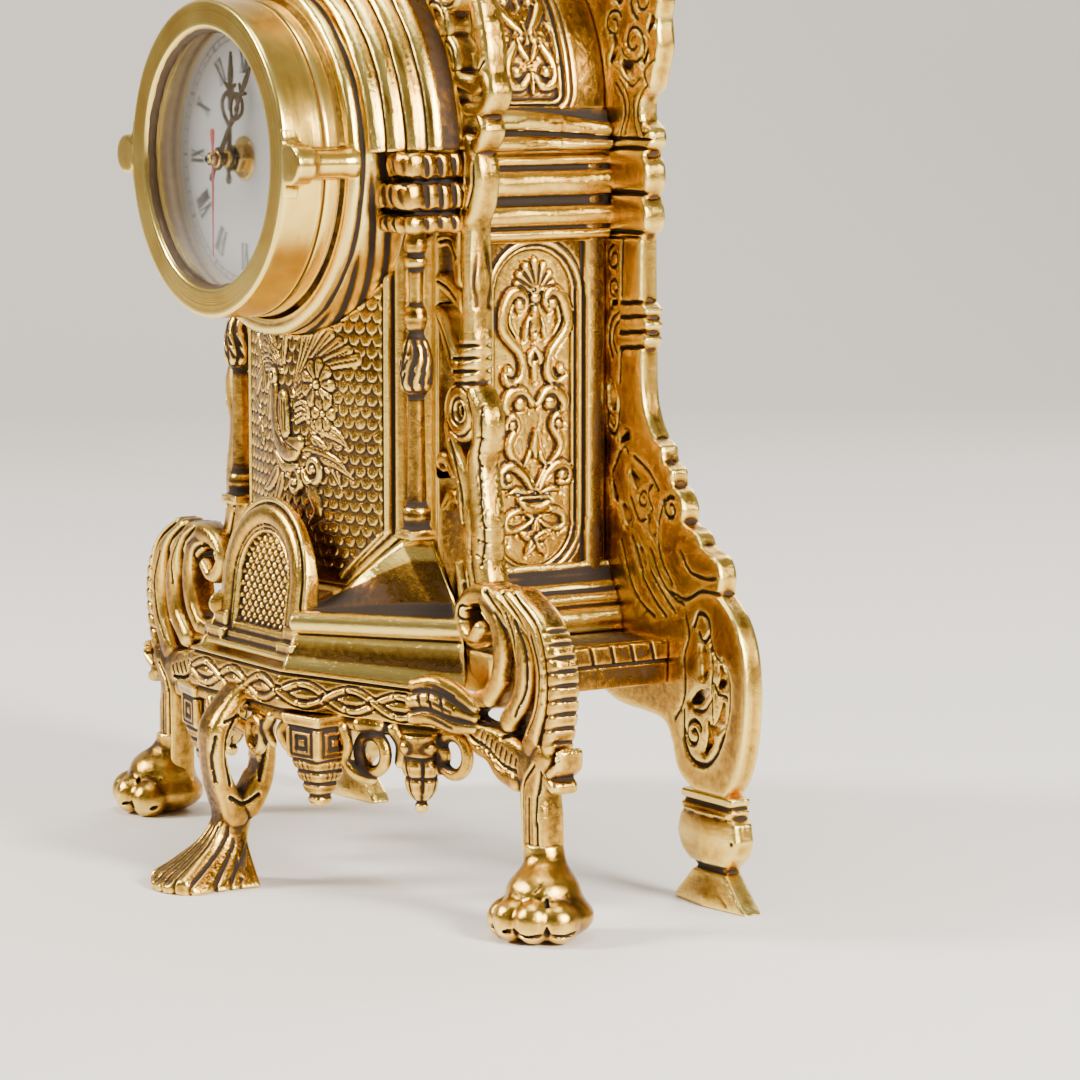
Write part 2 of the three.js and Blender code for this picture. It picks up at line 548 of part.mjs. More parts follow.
// Wheel with pointed teeth; phase is the direction of one tooth, in turns from +X towards +Z.
function toothed(teeth, module, phase, layer, bore = 0) {
  const radius = (teeth * module) / 2;
  const points = [];
  for (let i = 0; i < teeth; i += 1) {
    const tip = 2 * Math.PI * (phase + i / teeth);
    const root = tip + Math.PI / teeth;
    points.push([(radius + 0.6 * module) * Math.cos(tip), (radius + 0.6 * module) * Math.sin(tip)]);
    points.push([(radius - 1.05 * module) * Math.cos(root), (radius - 1.05 * module) * Math.sin(root)]);
  }
  const holes = bore > 0 ? [circle(0, 0, bore, 10)] : [];
  return plate(points, plane(layer), plane(layer) + GEAR, holes);
}

// Phase of a wheel that meshes with one whose tooth points at phase; both directions in turns.
function meshed(phase, teeth, direction, otherTeeth) {
  const along = (direction - phase) * teeth;
  return direction + 0.5 - (0.5 - along) / otherTeeth;
}

const polar = (distance, turns, [x, z] = [0, 0]) =>
  [x + distance * Math.cos(2 * Math.PI * turns), z + distance * Math.sin(2 * Math.PI * turns)];

const MOTION = 0.5;              // modules of the three trains
const TRAIN = 0.35;
const STEP = 0.3;
const motionDistance = (MOTION * (12 + 36)) / 2;
const trainDistance = (TRAIN * (8 + 60)) / 2;
const stepDistance = (TRAIN * (8 + 40)) / 2;
const TO_MINUTE = 0.445;         // directions between axes, in turns
const TO_THIRD = 0.055;
const TO_STEP = 0.25;
const TO_ROTOR = 0.14;
const TO_KNOB = 0.33;
const minuteAxis = polar(motionDistance, TO_MINUTE);
const thirdAxis = polar(trainDistance, TO_THIRD);
const stepAxis = polar(stepDistance, TO_STEP);
const rotorAxis = polar(stepDistance, TO_ROTOR, stepAxis);
const knobAxis = polar(motionDistance, TO_KNOB, minuteAxis);
const arbor = (r, near, far) => disc(r, near, far, 6);

function addWheel(name, axis, look, ...pieces) {
  const mesh = add(name, join(...pieces), look, works);
  mesh.position.set(axis[0], 0, axis[1]);
}

function addTrain() {
  const hourModule = (2 * motionDistance) / (10 + 40);
  const centreModule = (2 * trainDistance) / (8 + 64);
  const steel = { color: 0x9a9a98, roughness: 0.35, metalness: 1 };
  const nylon = { color: 0xe9e6dc, roughness: 0.5, metalness: 0 };
  const minutePhase = meshed(0, 12, TO_MINUTE, 36);
  const hubEnd = plane(1) + GEAR;
  addWheel('minute_wheel', minuteAxis, nylon, toothed(36, MOTION, minutePhase, 1),
    toothed(10, hourModule, 0, 0), arbor(0.5, plane(0) - 0.6, plane(6)));
  addWheel('third_wheel', thirdAxis, nylon, toothed(60, TRAIN, meshed(0, 8, TO_THIRD, 60), 3),
    toothed(8, centreModule, 0, 2), arbor(0.5, plane(0) - 0.6, plane(6)));
  addWheel('step_wheel', stepAxis, nylon, toothed(48, STEP, 0, 5),
    toothed(8, TRAIN, meshed(0, 40, TO_STEP, 8), 4), arbor(0.5, plane(4) - 0.3, plane(6) + 2));
  addWheel('rotor', rotorAxis, steel, toothed(8, STEP, meshed(0, 48, TO_ROTOR, 8), 5),
    arbor(0.5, plane(5) - 0.3, plane(6) + 3), disc(3, plane(6) - 0.3, plane(6) + 2.7, 12));
  addWheel('centre_wheel', [0, 0], nylon, toothed(64, centreModule, meshed(0, 8, TO_THIRD + 0.5, 64), 2, 0.95));
  addWheel('setting_knob', knobAxis, PLASTIC, toothed(12, MOTION, meshed(minutePhase, 36, TO_KNOB, 12), 1),
    arbor(1.5, plane(1), MOVEMENT_BACK + 1), disc(5.5, MOVEMENT_BACK + 0.6, MOVEMENT_BACK + 5, 16));
  const hourPhase = meshed(0, 10, TO_MINUTE + 0.5, 40);
  const hourTube = tube(2, 2.8, HOUR_PLANE + 0.5, plane(0) + GEAR, 12);
  add('hour_wheel', join(toothed(40, hourModule, hourPhase, 0, 2), hourTube).subtract(solid(disc(2, -70, 0, 12))),
    nylon, works);
  const cannon = join(toothed(12, MOTION, 0, 1), disc(1.7, MINUTE_PLANE + 0.5, hubEnd, 12));
  add('cannon_pinion', cannon.subtract(solid(disc(0.95, -70, 0, 10))), BRIGHT, works);
  addWheel('seconds_wheel', [0, 0], nylon, toothed(40, TRAIN, 0, 4), toothed(8, TRAIN, 0, 3),
    arbor(0.6, SECOND_PLANE + 1, plane(6)));
}

// Moulded case with its threaded neck, open at the back.
function movementCase() {
  const front = MOVEMENT_FRONT;
  const half = MOVEMENT_HALF;
  const shell = box([-half, front, -half], [half, MOVEMENT_BACK - 1.7, half]);
  const room = box([-half + 1.2, front + 0.8, -half + 1.2], [half - 1.2, 0, half - 1.2]);
  const neck = disc(3.9, HOUR_PLANE + 1.2, front + 0.5, 16);
  return join(shell, neck).subtract(solid(room)).subtract(solid(disc(3.15, -70, 0, 16)));
}

// Back cover over the gears; the battery bay below it stays open.
function movementCover() {
  const half = MOVEMENT_HALF;
  const cover = plate([[-half, -11.8], [half, -11.8], [half, half], [-half, half]], MOVEMENT_BACK - 1.4,
    MOVEMENT_BACK, [circle(knobAxis[0], knobAxis[1], 1.9, 10)]);
  return solid(cover);
}

// Magnetic yoke around the rotor, with its two arms up to the coil.
function stator() {
  const [x, z] = rotorAxis;
  const yoke = plate([[-14, 13], [-4, 13], [x - 6, z - 5.5], [x + 6, z - 5.5], [15, 13], [15, 25.5], [12.4, 25.5],
    [12.4, z + 5.5], [-11.4, z + 5.5], [-11.4, 25.5], [-14, 25.5]], plane(6) + 0.4, plane(6) + 1.6,
  [circle(x, z, 3.6, 12)]);
  return solid(yoke);
}

function addMovement() {
  const copper = { color: 0xb5622e, roughness: 0.4, metalness: 1 };
  const steel = { color: 0x9a9a98, roughness: 0.35, metalness: 1 };
  add('movement_case', movementCase(), PLASTIC, works);
  add('movement_cover', movementCover(), PLASTIC, works);
  add('stator', stator(), steel, works);
  const coil = join(disc(2.1, -11, 12, 12).rotateZ(-Math.PI / 2));
  add('coil', solid(surface(coil).translate(0, plane(6) + 1, 23.6)), copper, works);
  add('circuit_board', join(box([-24.5, -25.6, -9], [-10, -24.6, 7])), { color: 0x1f5a3a, roughness: 0.5 }, works);
  const cell = lathe([[0, -25.2], [7.1, -25.2], [7.1, 23.6], [2.7, 24], [2.7, 25.2], [0, 25.2]], 20);
  add('battery', solid(cell.rotateZ(-Math.PI / 2).translate(0, -29.5, -19.4)), { color: 0x30343a, roughness: 0.4 },
    works);
  [['positive', 25.6], ['negative', -26.1]].forEach(([pole, x]) => {
    add(`battery_contact_${pole}`, join(box([x, -33.5, -23.4], [x + 0.5, -25.5, -15.4])), steel, works);
  });
}

// ---- Assembly ----

add('front_panel', frontPanel(), BRASS);
add('arch_door', archDoor(), BRASS);
add('plinth', plinth(), BRASS);
add('band_rail', bandRail(), BRASS);
addPair('corner_pendant', cornerPendant(), BRASS);
addPair('drop_pendant', dropPendant(), BRASS);
add('middle_leg', middleLeg(), BRASS);
addPair('front_leg', frontLeg(), BRASS);
addPair('wing', wing(), BRASS);
addPair('column', column(), BRASS);
addPair('capital', cornerCapital(), BRASS);
add('arch_moulding', archMoulding(), BRASS);
add('collar', collar(), BRASS);
add('crest', crest(), BRASS);
add('finial', finial(), BRASS);
addPair('side_wall', sideWall(), BRASS);
addPair('side_plinth', sidePlinth(), BRASS);
addPair('side_cornice', sideCornice(), BRASS);
add('vault', vault(), BRASS);
add('base_plate', basePlate(), BRASS);
add('rear_plate', rearPlate(), BRASS);
addPair('rear_foot', rearFoot(), BRASS);

add('bezel', bezel(), BRIGHT, works);
add('glass', glass(), { color: 0xffffff, roughness: 0.05, metalness: 0, transparent: true, opacity: 0.3 }, works);
add('spacer_ring', join(tube(49.4, 52, GLASS_RIM + 2, DIAL_FACE - GAP, 28)), BRIGHT, works);
add('dial', join(tube(4.3, 52.3, DIAL_FACE, DIAL_FACE + 1, 28)), { color: 0xf4f2ee, roughness: 0.6 }, works);
add('dial_washer', join(tube(4.3, 8, DIAL_FACE - 0.8, DIAL_FACE - GAP, 16)), BRIGHT, works);
add('dial_nut', cut(disc(5.4, DIAL_FACE - 5.2, DIAL_FACE - 1.1, 6), disc(4.3, -70, 0, 16)), BRIGHT, works);
const dark = { color: 0x2a2722, roughness: 0.4, metalness: 0.6 };
add('hour_hand', hand(HOUR_BLADE, 4.5, 3, HOUR_PLANE, 0.4, 3), dark, works);
add('minute_hand', hand(MINUTE_BLADE, 3.7, 1.9, MINUTE_PLANE, 0.4, 36), dark, works);
add('second_hand', hand(SECOND_BLADE, 3.5, 0, SECOND_PLANE, 0.3, 180), { color: 0xc4474a, roughness: 0.4 }, works);
screwX.forEach(([side, x]) => {
  const screw = add(`bezel_screw_${side}`, bezelScrew(), { color: 0x8a8a88, roughness: 0.35, metalness: 1 }, works);
  screw.position.set(x, 0, 0);
});
addMovement();
addTrain();

// The footprint runs from the middle toe to the back of the rear plate.
clock.position.y = -(FRONT_TOE + REAR_PLATE + REAR_THICKNESS) / 2;

export default clock;
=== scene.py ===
import math

import bpy
import numpy as np
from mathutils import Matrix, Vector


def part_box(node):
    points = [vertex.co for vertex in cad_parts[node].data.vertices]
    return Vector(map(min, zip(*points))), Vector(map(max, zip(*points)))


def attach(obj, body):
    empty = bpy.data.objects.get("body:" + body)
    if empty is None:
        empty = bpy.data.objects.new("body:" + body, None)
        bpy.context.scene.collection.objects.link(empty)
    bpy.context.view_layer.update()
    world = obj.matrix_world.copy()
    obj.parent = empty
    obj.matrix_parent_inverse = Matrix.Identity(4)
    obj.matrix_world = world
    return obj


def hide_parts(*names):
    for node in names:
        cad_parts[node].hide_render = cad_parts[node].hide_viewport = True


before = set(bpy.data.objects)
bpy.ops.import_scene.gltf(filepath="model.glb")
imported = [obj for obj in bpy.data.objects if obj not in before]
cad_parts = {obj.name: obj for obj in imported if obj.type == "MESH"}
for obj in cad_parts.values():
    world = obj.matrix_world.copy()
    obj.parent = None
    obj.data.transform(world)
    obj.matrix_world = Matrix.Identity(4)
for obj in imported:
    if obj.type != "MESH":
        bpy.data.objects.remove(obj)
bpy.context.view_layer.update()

import openvdb

# Looks of a cast brass mantel clock. Lengths are in millimetres until a mesh is made.
# X runs to the clock's right, Z up. Y is measured from the plane of the front paws, to the back.
MM = 0.001
COARSE = 1.0    # wider grids while trying things
FAR = 6.0                              # distances are kept up to here
ADAPT = 0.004                          # how much a flat area of a mesh may be simplified

REAR_BACK = 83.0                       # back of the rear plate
REAR_THICK = 8.0
DIAL_HEIGHT = 264.3                    # axis of the dial above the ground
COLLAR_RADIUS = 64.0
EAR_X = 61.3                           # the bezel's screws, from the middle
WALL = 3.5                             # thickness of the case's castings
WALL_X = 62.0                          # outer face of a side wall
CASE_FRONT = 3.0
CASE_BACK = 74.7
VAULT_RADIUS = 61.0
VAULT_SPRING = 284.0                   # height where the sides bend into the vault
WING_FRONT = 3.0
WING_THICK = 7.5
LEG_FRONT = -5.0
LEG_BACK = 6.0
PANEL_BOW = 122.8                      # radius of the front panel's bow
PANEL_CENTRE = 100.8                   # axis of that bow
PANEL_HALF = 55.0                      # half of the bowed width
PANEL_BASE = 2.3                       # panel thickness below its relief
DOOR_CENTRE = 110.0                    # centre of the false door's arch
DOOR_BACK = -28.0
DOOR_LEAN = 0.12
DOOR_THICK = 6.0
BAND_CORNER = (33.0, -45.5)            # where the band turns from the front to a side facet
BAND_SIDE = (0.763, 0.646)             # direction of that facet
BAND_SAG = 0.106                       # the band falls away along the facet
BAND_THICK = 9.0
DIAL_FACE = -39.3
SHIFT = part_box("rear_plate")[1].y / MM - REAR_BACK
SIDES = (("right", 1), ("left", -1))


# ---- Curves ----

def smooth(points, gap=1.0, width=None):
    """A smooth curve through rows of coordinates and a radius, with points about gap apart."""
    p = np.array(points, float)
    if width is not None:
        p = np.column_stack([p, np.full(len(p), width)])
    if len(p) == 2:
        steps = max(2, int(np.linalg.norm(p[1, :-1] - p[0, :-1]) / gap))
        return p[0] + np.linspace(0, 1, steps + 1)[:, None] * (p[1] - p[0])
    p = np.vstack([2 * p[0] - p[1], p, 2 * p[-1] - p[-2]])
    rows = []
    for a, b, c, d in zip(p[:-3], p[1:-2], p[2:-1], p[3:]):
        n = max(1, math.ceil(np.linalg.norm((c - b)[:-1]) / gap))
        t = np.arange(n)[:, None] / n
        rows.append(0.5 * (2 * b + (c - a) * t + (2 * a - 5 * b + 4 * c - d) * t ** 2
                           + (3 * b - a - 3 * c + d) * t ** 3))
    return np.vstack(rows + [p[-2][None]])


def volute(centre, start, turns, outer, inner, thick, thin, gap=0.7):
    """A curl that winds in from radius outer to inner; start in degrees, turns signed."""
    n = max(8, int(abs(turns) * 2 * math.pi * (outer + inner) / 2 / gap))
    t = np.linspace(0, 1, n)
    angle = math.radians(start) + 2 * math.pi * turns * t
    radius = outer + (inner - outer) * t
    return np.column_stack([centre[0] + radius * np.cos(angle), centre[1] + radius * np.sin(angle),
                            thick + (thin - thick) * t])


def arc(centre, radius, first, last, width=0.0, gap=1.0):
    """Rows on part of a circle, angles in degrees."""
    n = max(3, int(abs(last - first) / 360 * 2 * math.pi * radius / gap))
    angle = np.radians(np.linspace(first, last, n + 1))
    return np.column_stack([centre[0] + radius * np.cos(angle), centre[1] + radius * np.sin(angle),
                            np.full(n + 1, width)])


def line(*points, width=0.6):
    """A smooth curve of one width."""
    return smooth(points, width=width)


def spot(centre, radius, length):
    """A round spot as a very short line."""
    return smooth([(*centre, radius), (centre[0] + length, centre[1], radius)])


def oblong(low_u, low_v, high_u, high_v):
    return [(low_u, low_v), (high_u, low_v), (high_u, high_v), (low_u, high_v)]


# ---- Distances on grids ----

def dome(value, low, high):
    """Height from 0 to 1 of a rounded ridge between two values."""
    t = (value - (low + high) / 2) / ((high - low) / 2)
    return np.sqrt(np.clip(1 - t ** 2, 0, 1))


def notch(value, centre, half):
    """Depth from 0 to 1 of a groove about a value."""
    return np.clip(1 - ((value - centre) / half) ** 2, 0, 1)


def radius_at(height, levels):
    """Radius between the (height, radius) levels of a turned shape."""
    return np.interp(height, *zip(*levels))


def smooth_min(a, b, k):
    h = np.clip(k - np.abs(a - b), 0, None)
    return np.minimum(a, b) - h * h / (4 * k)


def smooth_max(a, b, k):
    return -smooth_min(-a, -b, k)


def trace(axes, rows, reach=3.0):
    """Distance outside a tapering line, share of its radius, and length along it, on a grid of axes."""
    dims = len(axes)
    gap = np.full([len(a) for a in axes], FAR, np.float32)
    share = gap.copy()
    along = np.zeros_like(gap)
    done = 0.0
    for a, b in zip(rows[:-1], rows[1:]):
        span = b[:dims] - a[:dims]
        length = float(np.linalg.norm(span))
        if length < 1e-6:
            continue
        pad = max(a[dims], b[dims]) + reach
        near = tuple(slice(*np.searchsorted(axes[k], [min(a[k], b[k]) - pad, max(a[k], b[k]) + pad]))
                     for k in range(dims))
        if all(s.stop > s.start for s in near):
            off = [(axes[k][near[k]] - a[k]).reshape([-1 if j == k else 1 for j in range(dims)])
                   for k in range(dims)]
            t = np.clip(sum(o * s for o, s in zip(off, span)) / length ** 2, 0, 1)
            distance = np.sqrt(sum((o - t * s) ** 2 for o, s in zip(off, span)))
            radius = a[dims] + t * (b[dims] - a[dims])
            value = distance - radius
            better = value < gap[near]
            gap[near] = np.where(better, value, gap[near])
            share[near] = np.where(better, distance / np.maximum(radius, 1e-3), share[near])
            along[near] = np.where(better, done + t * length, along[near])
        done += length
    return gap, share, along


def inside(u, v, outline):
    """Which points of a plane grid lie within a closed outline."""
    within = np.zeros((len(u), len(v)), bool)
    for (x0, y0), (x1, y1) in zip(outline[:, :2], np.roll(outline[:, :2], -1, 0)):
        if y0 == y1:
            continue
        rows = (y0 > v) != (y1 > v)
        cross = x0 + (v - y0) * (x1 - x0) / (y1 - y0)
        within ^= rows[None, :] & (u[:, None] < cross[None, :])
    return within


def blur(a, n):
    """Mean over a box of 2n + 1 cells along every axis."""
    for axis in range(a.ndim):
        pad = [(n + 1, n) if k == axis else (0, 0) for k in range(a.ndim)]
        total = np.cumsum(np.pad(a, pad, mode="edge"), axis=axis, dtype=np.float32)
        size = a.shape[axis]
        a = (np.take(total, range(2 * n + 1, 2 * n + 1 + size), axis)
             - np.take(total, range(size), axis)) / (2 * n + 1)
    return a


def sample(a, index):
    """Values of a 3-D grid at places given in cells."""
    top = np.array(a.shape) - 2
    base = np.clip(index.astype(int), 0, top)
    f = np.clip(index - base, 0, 1)
    value = 0
    for corner in range(8):
        d = [(corner >> k) & 1 for k in range(3)]
        weight = np.prod([f[:, k] if d[k] else 1 - f[:, k] for k in range(3)], axis=0)
        value = value + weight * a[base[:, 0] + d[0], base[:, 1] + d[1], base[:, 2] + d[2]]
    return value


def skin(field, low, step, fine=1.1, broad=3.2):
    """Closed mesh of where field is zero: points, faces, and how hollow the surface is at each point."""
    grid = openvdb.FloatGrid(FAR)
    grid.copyFromArray(np.ascontiguousarray(field, dtype=np.float32))
    index, triangles, quads = grid.convertToPolygons(isovalue=0.0, adaptivity=ADAPT)
    index = np.array(index, float)
    hollow = 0
    for reach, weight in ((fine, 1.0), (broad, 0.45)):
        cells = max(1, round(reach / step))
        hollow = hollow - weight * sample(blur(field, cells), index) / reach
    return np.array(low) + index * step, [np.array(quads), np.array(triangles)], hollow


class Sketch:
    """A drawing in (u, v) that becomes a slab: plan is the distance outside its outline, rise its relief."""

    def __init__(self, low, high, step):
        self.step = step * COARSE
        self.low = low
        self.axes = [np.arange(a, b + self.step, self.step) for a, b in zip(low, high)]
        shape = [len(a) for a in self.axes]
        self.plan = np.full(shape, FAR, np.float32)
        self.rise = np.zeros(shape, np.float32)

    def grid(self):
        return np.meshgrid(*self.axes, indexing="ij")

    def near(self, rows, reach=3.0):
        """The part of the grid about a line, and its axes."""
        pad = rows[:, 2].max() + reach
        low = rows[:, :2].min(0) - pad
        high = rows[:, :2].max(0) + pad
        win = tuple(slice(*np.searchsorted(a, [p, q])) for a, p, q in zip(self.axes, low, high))
        return win, [a[s] for a, s in zip(self.axes, win)]

    def fill(self, outline, k=0.5, hole=False):
        """Adds or cuts a closed outline."""
        rows = np.array(outline, float)
        if rows.shape[1] == 2:
            rows = np.column_stack([rows, np.zeros(len(rows))])
        win, axes = self.near(rows)
        edge, _, _ = trace(axes, np.vstack([rows, rows[:1]]))
        within = inside(*axes, rows)
        value = np.where(within, -edge, edge)
        if hole:
            self.plan[win] = smooth_max(self.plan[win], -value, k)
        else:
            self.plan[win] = smooth_min(self.plan[win], value, k)

    def bar(self, rows, height, solid=True, k=0.5):
        """A strand with a rounded top; radius in the third column."""
        win, axes = self.near(rows)
        gap, share, _ = trace(axes, rows)
        if solid:
            self.plan[win] = smooth_min(self.plan[win], gap, k)
        top = height * np.sqrt(np.clip(1 - share ** 2, 0, 1))
        face = self.rise[win]
        self.rise[win] = np.where(gap < 0, np.maximum(face, top), face)

    def groove(self, rows, depth):
        win, axes = self.near(rows)
        _, share, _ = trace(axes, rows)
        self.rise[win] -= depth * np.clip(1 - share ** 2, 0, 1)

    def cut(self, rows, k=0.5):
        """An opening as wide as the line."""
        win, axes = self.near(rows)
        gap, _, _ = trace(axes, rows)
        self.plan[win] = smooth_max(self.plan[win], -gap, k)

    def band(self, rows, height, groove=0.5, wide=0.5):
        """A strand painted over what is there, with a dark line along each side."""
        win, axes = self.near(rows)
        gap, share, _ = trace(axes, rows)
        top = height * np.sqrt(np.clip(1 - share ** 2, 0, 1)) * 0.6 + height * 0.4
        border = notch(gap, wide / 2, wide / 2) * (gap > 0)
        face = np.where(gap < 0, top, self.rise[win])
        self.rise[win] = face - groove * border

    def slab(self, depth, edge=0.7, below=0.0, two_sided=False):
        """Points (u, v, w), faces and hollowness of the drawing given thickness."""
        step = self.step
        top = depth + self.rise
        lowest = -top.max() if two_sided else -below
        w = np.arange(lowest - 3 * step, top.max() + 3.5 * step, step)
        if two_sided:
            faces = np.abs(w) - top[:, :, None]
        else:
            faces = smooth_max(w - top[:, :, None], -below - w, edge)
        field = smooth_max(self.plan[:, :, None], faces, edge)
        field = np.pad(field, 1, constant_values=2.0)
        low = [self.axes[0][0] - step, self.axes[1][0] - step, w[0] - step]
        return skin(field, low, step)


class Block:
    """A solid on a 3-D grid, held as the distance outside it."""

    def __init__(self, low, high, step):
        self.step = step * COARSE
        self.axes = [np.arange(a, b + self.step, self.step) for a, b in zip(low, high)]
        self.field = np.full([len(a) for a in self.axes], FAR, np.float32)

    def near(self, low, high, reach=3.0):
        """The part of the grid about a box, and its axes."""
        win = tuple(slice(*np.searchsorted(a, [p - reach, q + reach]))
                    for a, p, q in zip(self.axes, low, high))
        return win, [a[s] for a, s in zip(self.axes, win)]

    def grid(self, axes=None):
        return np.meshgrid(*(axes or self.axes), indexing="ij", sparse=True)

    def put(self, win, value, k, cut=False):
        """Blends a shape into the solid, or takes it away."""
        if cut:
            self.field[win] = smooth_max(self.field[win], -value, k)
        else:
            self.field[win] = smooth_min(self.field[win], value, k)

    def tube(self, rows, k=0.8, cut=False):
        """A tapering strand through rows of x, y, z and radius."""
        rows = np.array(rows, float)
        pad = rows[:, 3].max()
        win, axes = self.near(rows[:, :3].min(0) - pad, rows[:, :3].max(0) + pad)
        gap, _, _ = trace(axes, rows)
        self.put(win, gap, k, cut)

    def ball(self, centre, radii, k=0.8, turn=0.0):
        """An ellipsoid, turned about Z, in degrees."""
        reach = max(radii)
        win, axes = self.near([c - reach for c in centre], [c + reach for c in centre])
        x, y, z = [a - c for a, c in zip(self.grid(axes), centre)]
        c, s = math.cos(math.radians(turn)), math.sin(math.radians(turn))
        x, y = c * x + s * y, c * y - s * x
        size = np.sqrt((x / radii[0]) ** 2 + (y / radii[1]) ** 2 + (z / radii[2]) ** 2)
        self.put(win, (size - 1) * min(radii), k)

    def brick(self, low, high, k=0.8, round_by=0.5):
        """A box with rounded edges."""
        win, axes = self.near(low, high)
        value = None
        for g, a, b in zip(self.grid(axes), low, high):
            side = np.abs(g - (a + b) / 2) - (b - a) / 2
            value = side if value is None else smooth_max(value, side, round_by)
        self.put(win, value, k)

    def mesh(self):
        field = np.pad(self.field, 1, constant_values=2.0)
        return skin(field, [a[0] - self.step for a in self.axes], self.step)


# ---- Meshes ----

def volume(points, faces):
    total = 0.0
    for f in faces:
        if len(f):
            p = points[f]
            for k in range(1, f.shape[1] - 1):
                total += np.einsum("ij,ij->i", p[:, 0], np.cross(p[:, k], p[:, k + 1])).sum()
    return total


def lattice(grid, closed=False):
    """Mesh over a grid of points, rows along a path and columns round the section, and how hollow it is."""
    rows, columns, _ = grid.shape
    index = np.arange(rows * columns).reshape(rows, columns)
    after = np.roll(index, -1, 0) if closed else index[1:]
    before = index if closed else index[:-1]
    quads = np.stack([before, np.roll(before, -1, 1), np.roll(after, -1, 1), after], -1).reshape(-1, 4)
    nearby = sum(np.roll(grid, k, 1) + np.roll(grid, -k, 1) for k in (1, 2, 3)) / 6
    along = np.roll(grid, -1, 0) - np.roll(grid, 1, 0) if closed else np.gradient(grid, axis=0)
    normal = np.cross(along, np.roll(grid, -1, 1) - np.roll(grid, 1, 1))
    normal /= np.maximum(np.linalg.norm(normal, axis=2), 1e-9)[:, :, None]
    outward = np.sign(np.sum((grid - grid.mean(1)[:, None]) * normal))
    hollow = np.sum((nearby - grid) * normal, axis=2).ravel() * outward * 2.0
    points = grid.reshape(-1, 3)
    if closed:
        return points, [quads], hollow
    caps = []
    for k, ring in enumerate((index[0], index[-1])):
        points = np.vstack([points, points[ring].mean(0)])
        cap = np.stack([ring, np.roll(ring, -1), np.full(columns, rows * columns + k)], -1)
        caps.append(cap if k else cap[:, ::-1])
    return points, [quads, np.vstack(caps)], np.append(hollow, [0.0, 0.0])


def even(hollow, level):
    """Hollowness on one scale for every piece, so that about a tenth of a carved one is dark with patina and
    painted shade.
    """
    middle, high = np.percentile(hollow, [50, 91])
    if level is not None:
        middle = level
    return np.clip((hollow - middle) / max(high - middle, 0.20), -1.6, 2.2) * 0.38


def piece(name, points, faces, hollow, material, nodes=(), body="case", slot="cast_brass", level=None):
    """Makes the object, in metres, and says what it rides on and stands for."""
    points = np.asarray(points, float)
    faces = [np.asarray(f, int) for f in faces if len(f)]
    if volume(points, faces) < 0:
        faces = [f[:, ::-1] for f in faces]
    mesh = bpy.data.meshes.new(name)
    mesh.vertices.add(len(points))
    place = (points + [0.0, SHIFT, 0.0]) * MM
    mesh.vertices.foreach_set("co", place.astype(np.float32).ravel())
    sizes = np.concatenate([np.full(len(f), f.shape[1]) for f in faces])
    corners = np.concatenate([f.ravel() for f in faces])
    mesh.loops.add(len(corners))
    mesh.loops.foreach_set("vertex_index", corners.astype(np.int32))
    mesh.polygons.add(len(sizes))
    mesh.polygons.foreach_set("loop_start", np.concatenate([[0], np.cumsum(sizes)[:-1]]).astype(np.int32))
    mesh.update(calc_edges=True)
    mesh.validate()
    mesh.polygons.foreach_set("use_smooth", np.ones(len(mesh.polygons), bool))
    if hollow is not None:
        layer = mesh.attributes.new("hollow", "FLOAT", "POINT")
        layer.data.foreach_set("value", even(hollow, level).astype(np.float32))
    mesh.materials.append(material)
    shape = bpy.data.objects.new(name, mesh)
    bpy.context.scene.collection.objects.link(shape)
    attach(shape, body)
    if nodes:
        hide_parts(*nodes)
    return shape


def tongue(u, w, middle):
    """Thins what runs past the middle of the clock, so that the mirror image lies over it."""
    return w + (middle - w) * 0.25 * np.clip(-u / 1.5, 0, 1)


def pair(name, points, faces, hollow, material, nodes=True, level=None):
    """A piece on the clock's right and its mirror image on the left, each with a node of its own."""
    for side, sign in SIDES:
        stands_for = [f"{name}_{side}"] if nodes else []
        piece(f"{name}_{side}_cast", points * [sign, 1, 1], faces, hollow, material, stands_for,
              level=level)


def halves(name, points, faces, hollow, material, node=None, **more):
    """A shape and its mirror image that stand for one node or for none."""
    for side, sign in SIDES:
        nodes = [node] if node and side == "right" else []
        piece(f"{name}_{side}", points * [sign, 1, 1], faces, hollow, material, nodes, **more)


# ---- Materials ----

def set_stops(node, stops):
    """Gives a colour ramp its (position, colour) stops."""
    elements = node.color_ramp.elements
    while len(elements) < len(stops):
        elements.new(0.5)
    for element, (place, color) in zip(elements, stops):
        element.position = place
        element.color = (*color, 1.0)


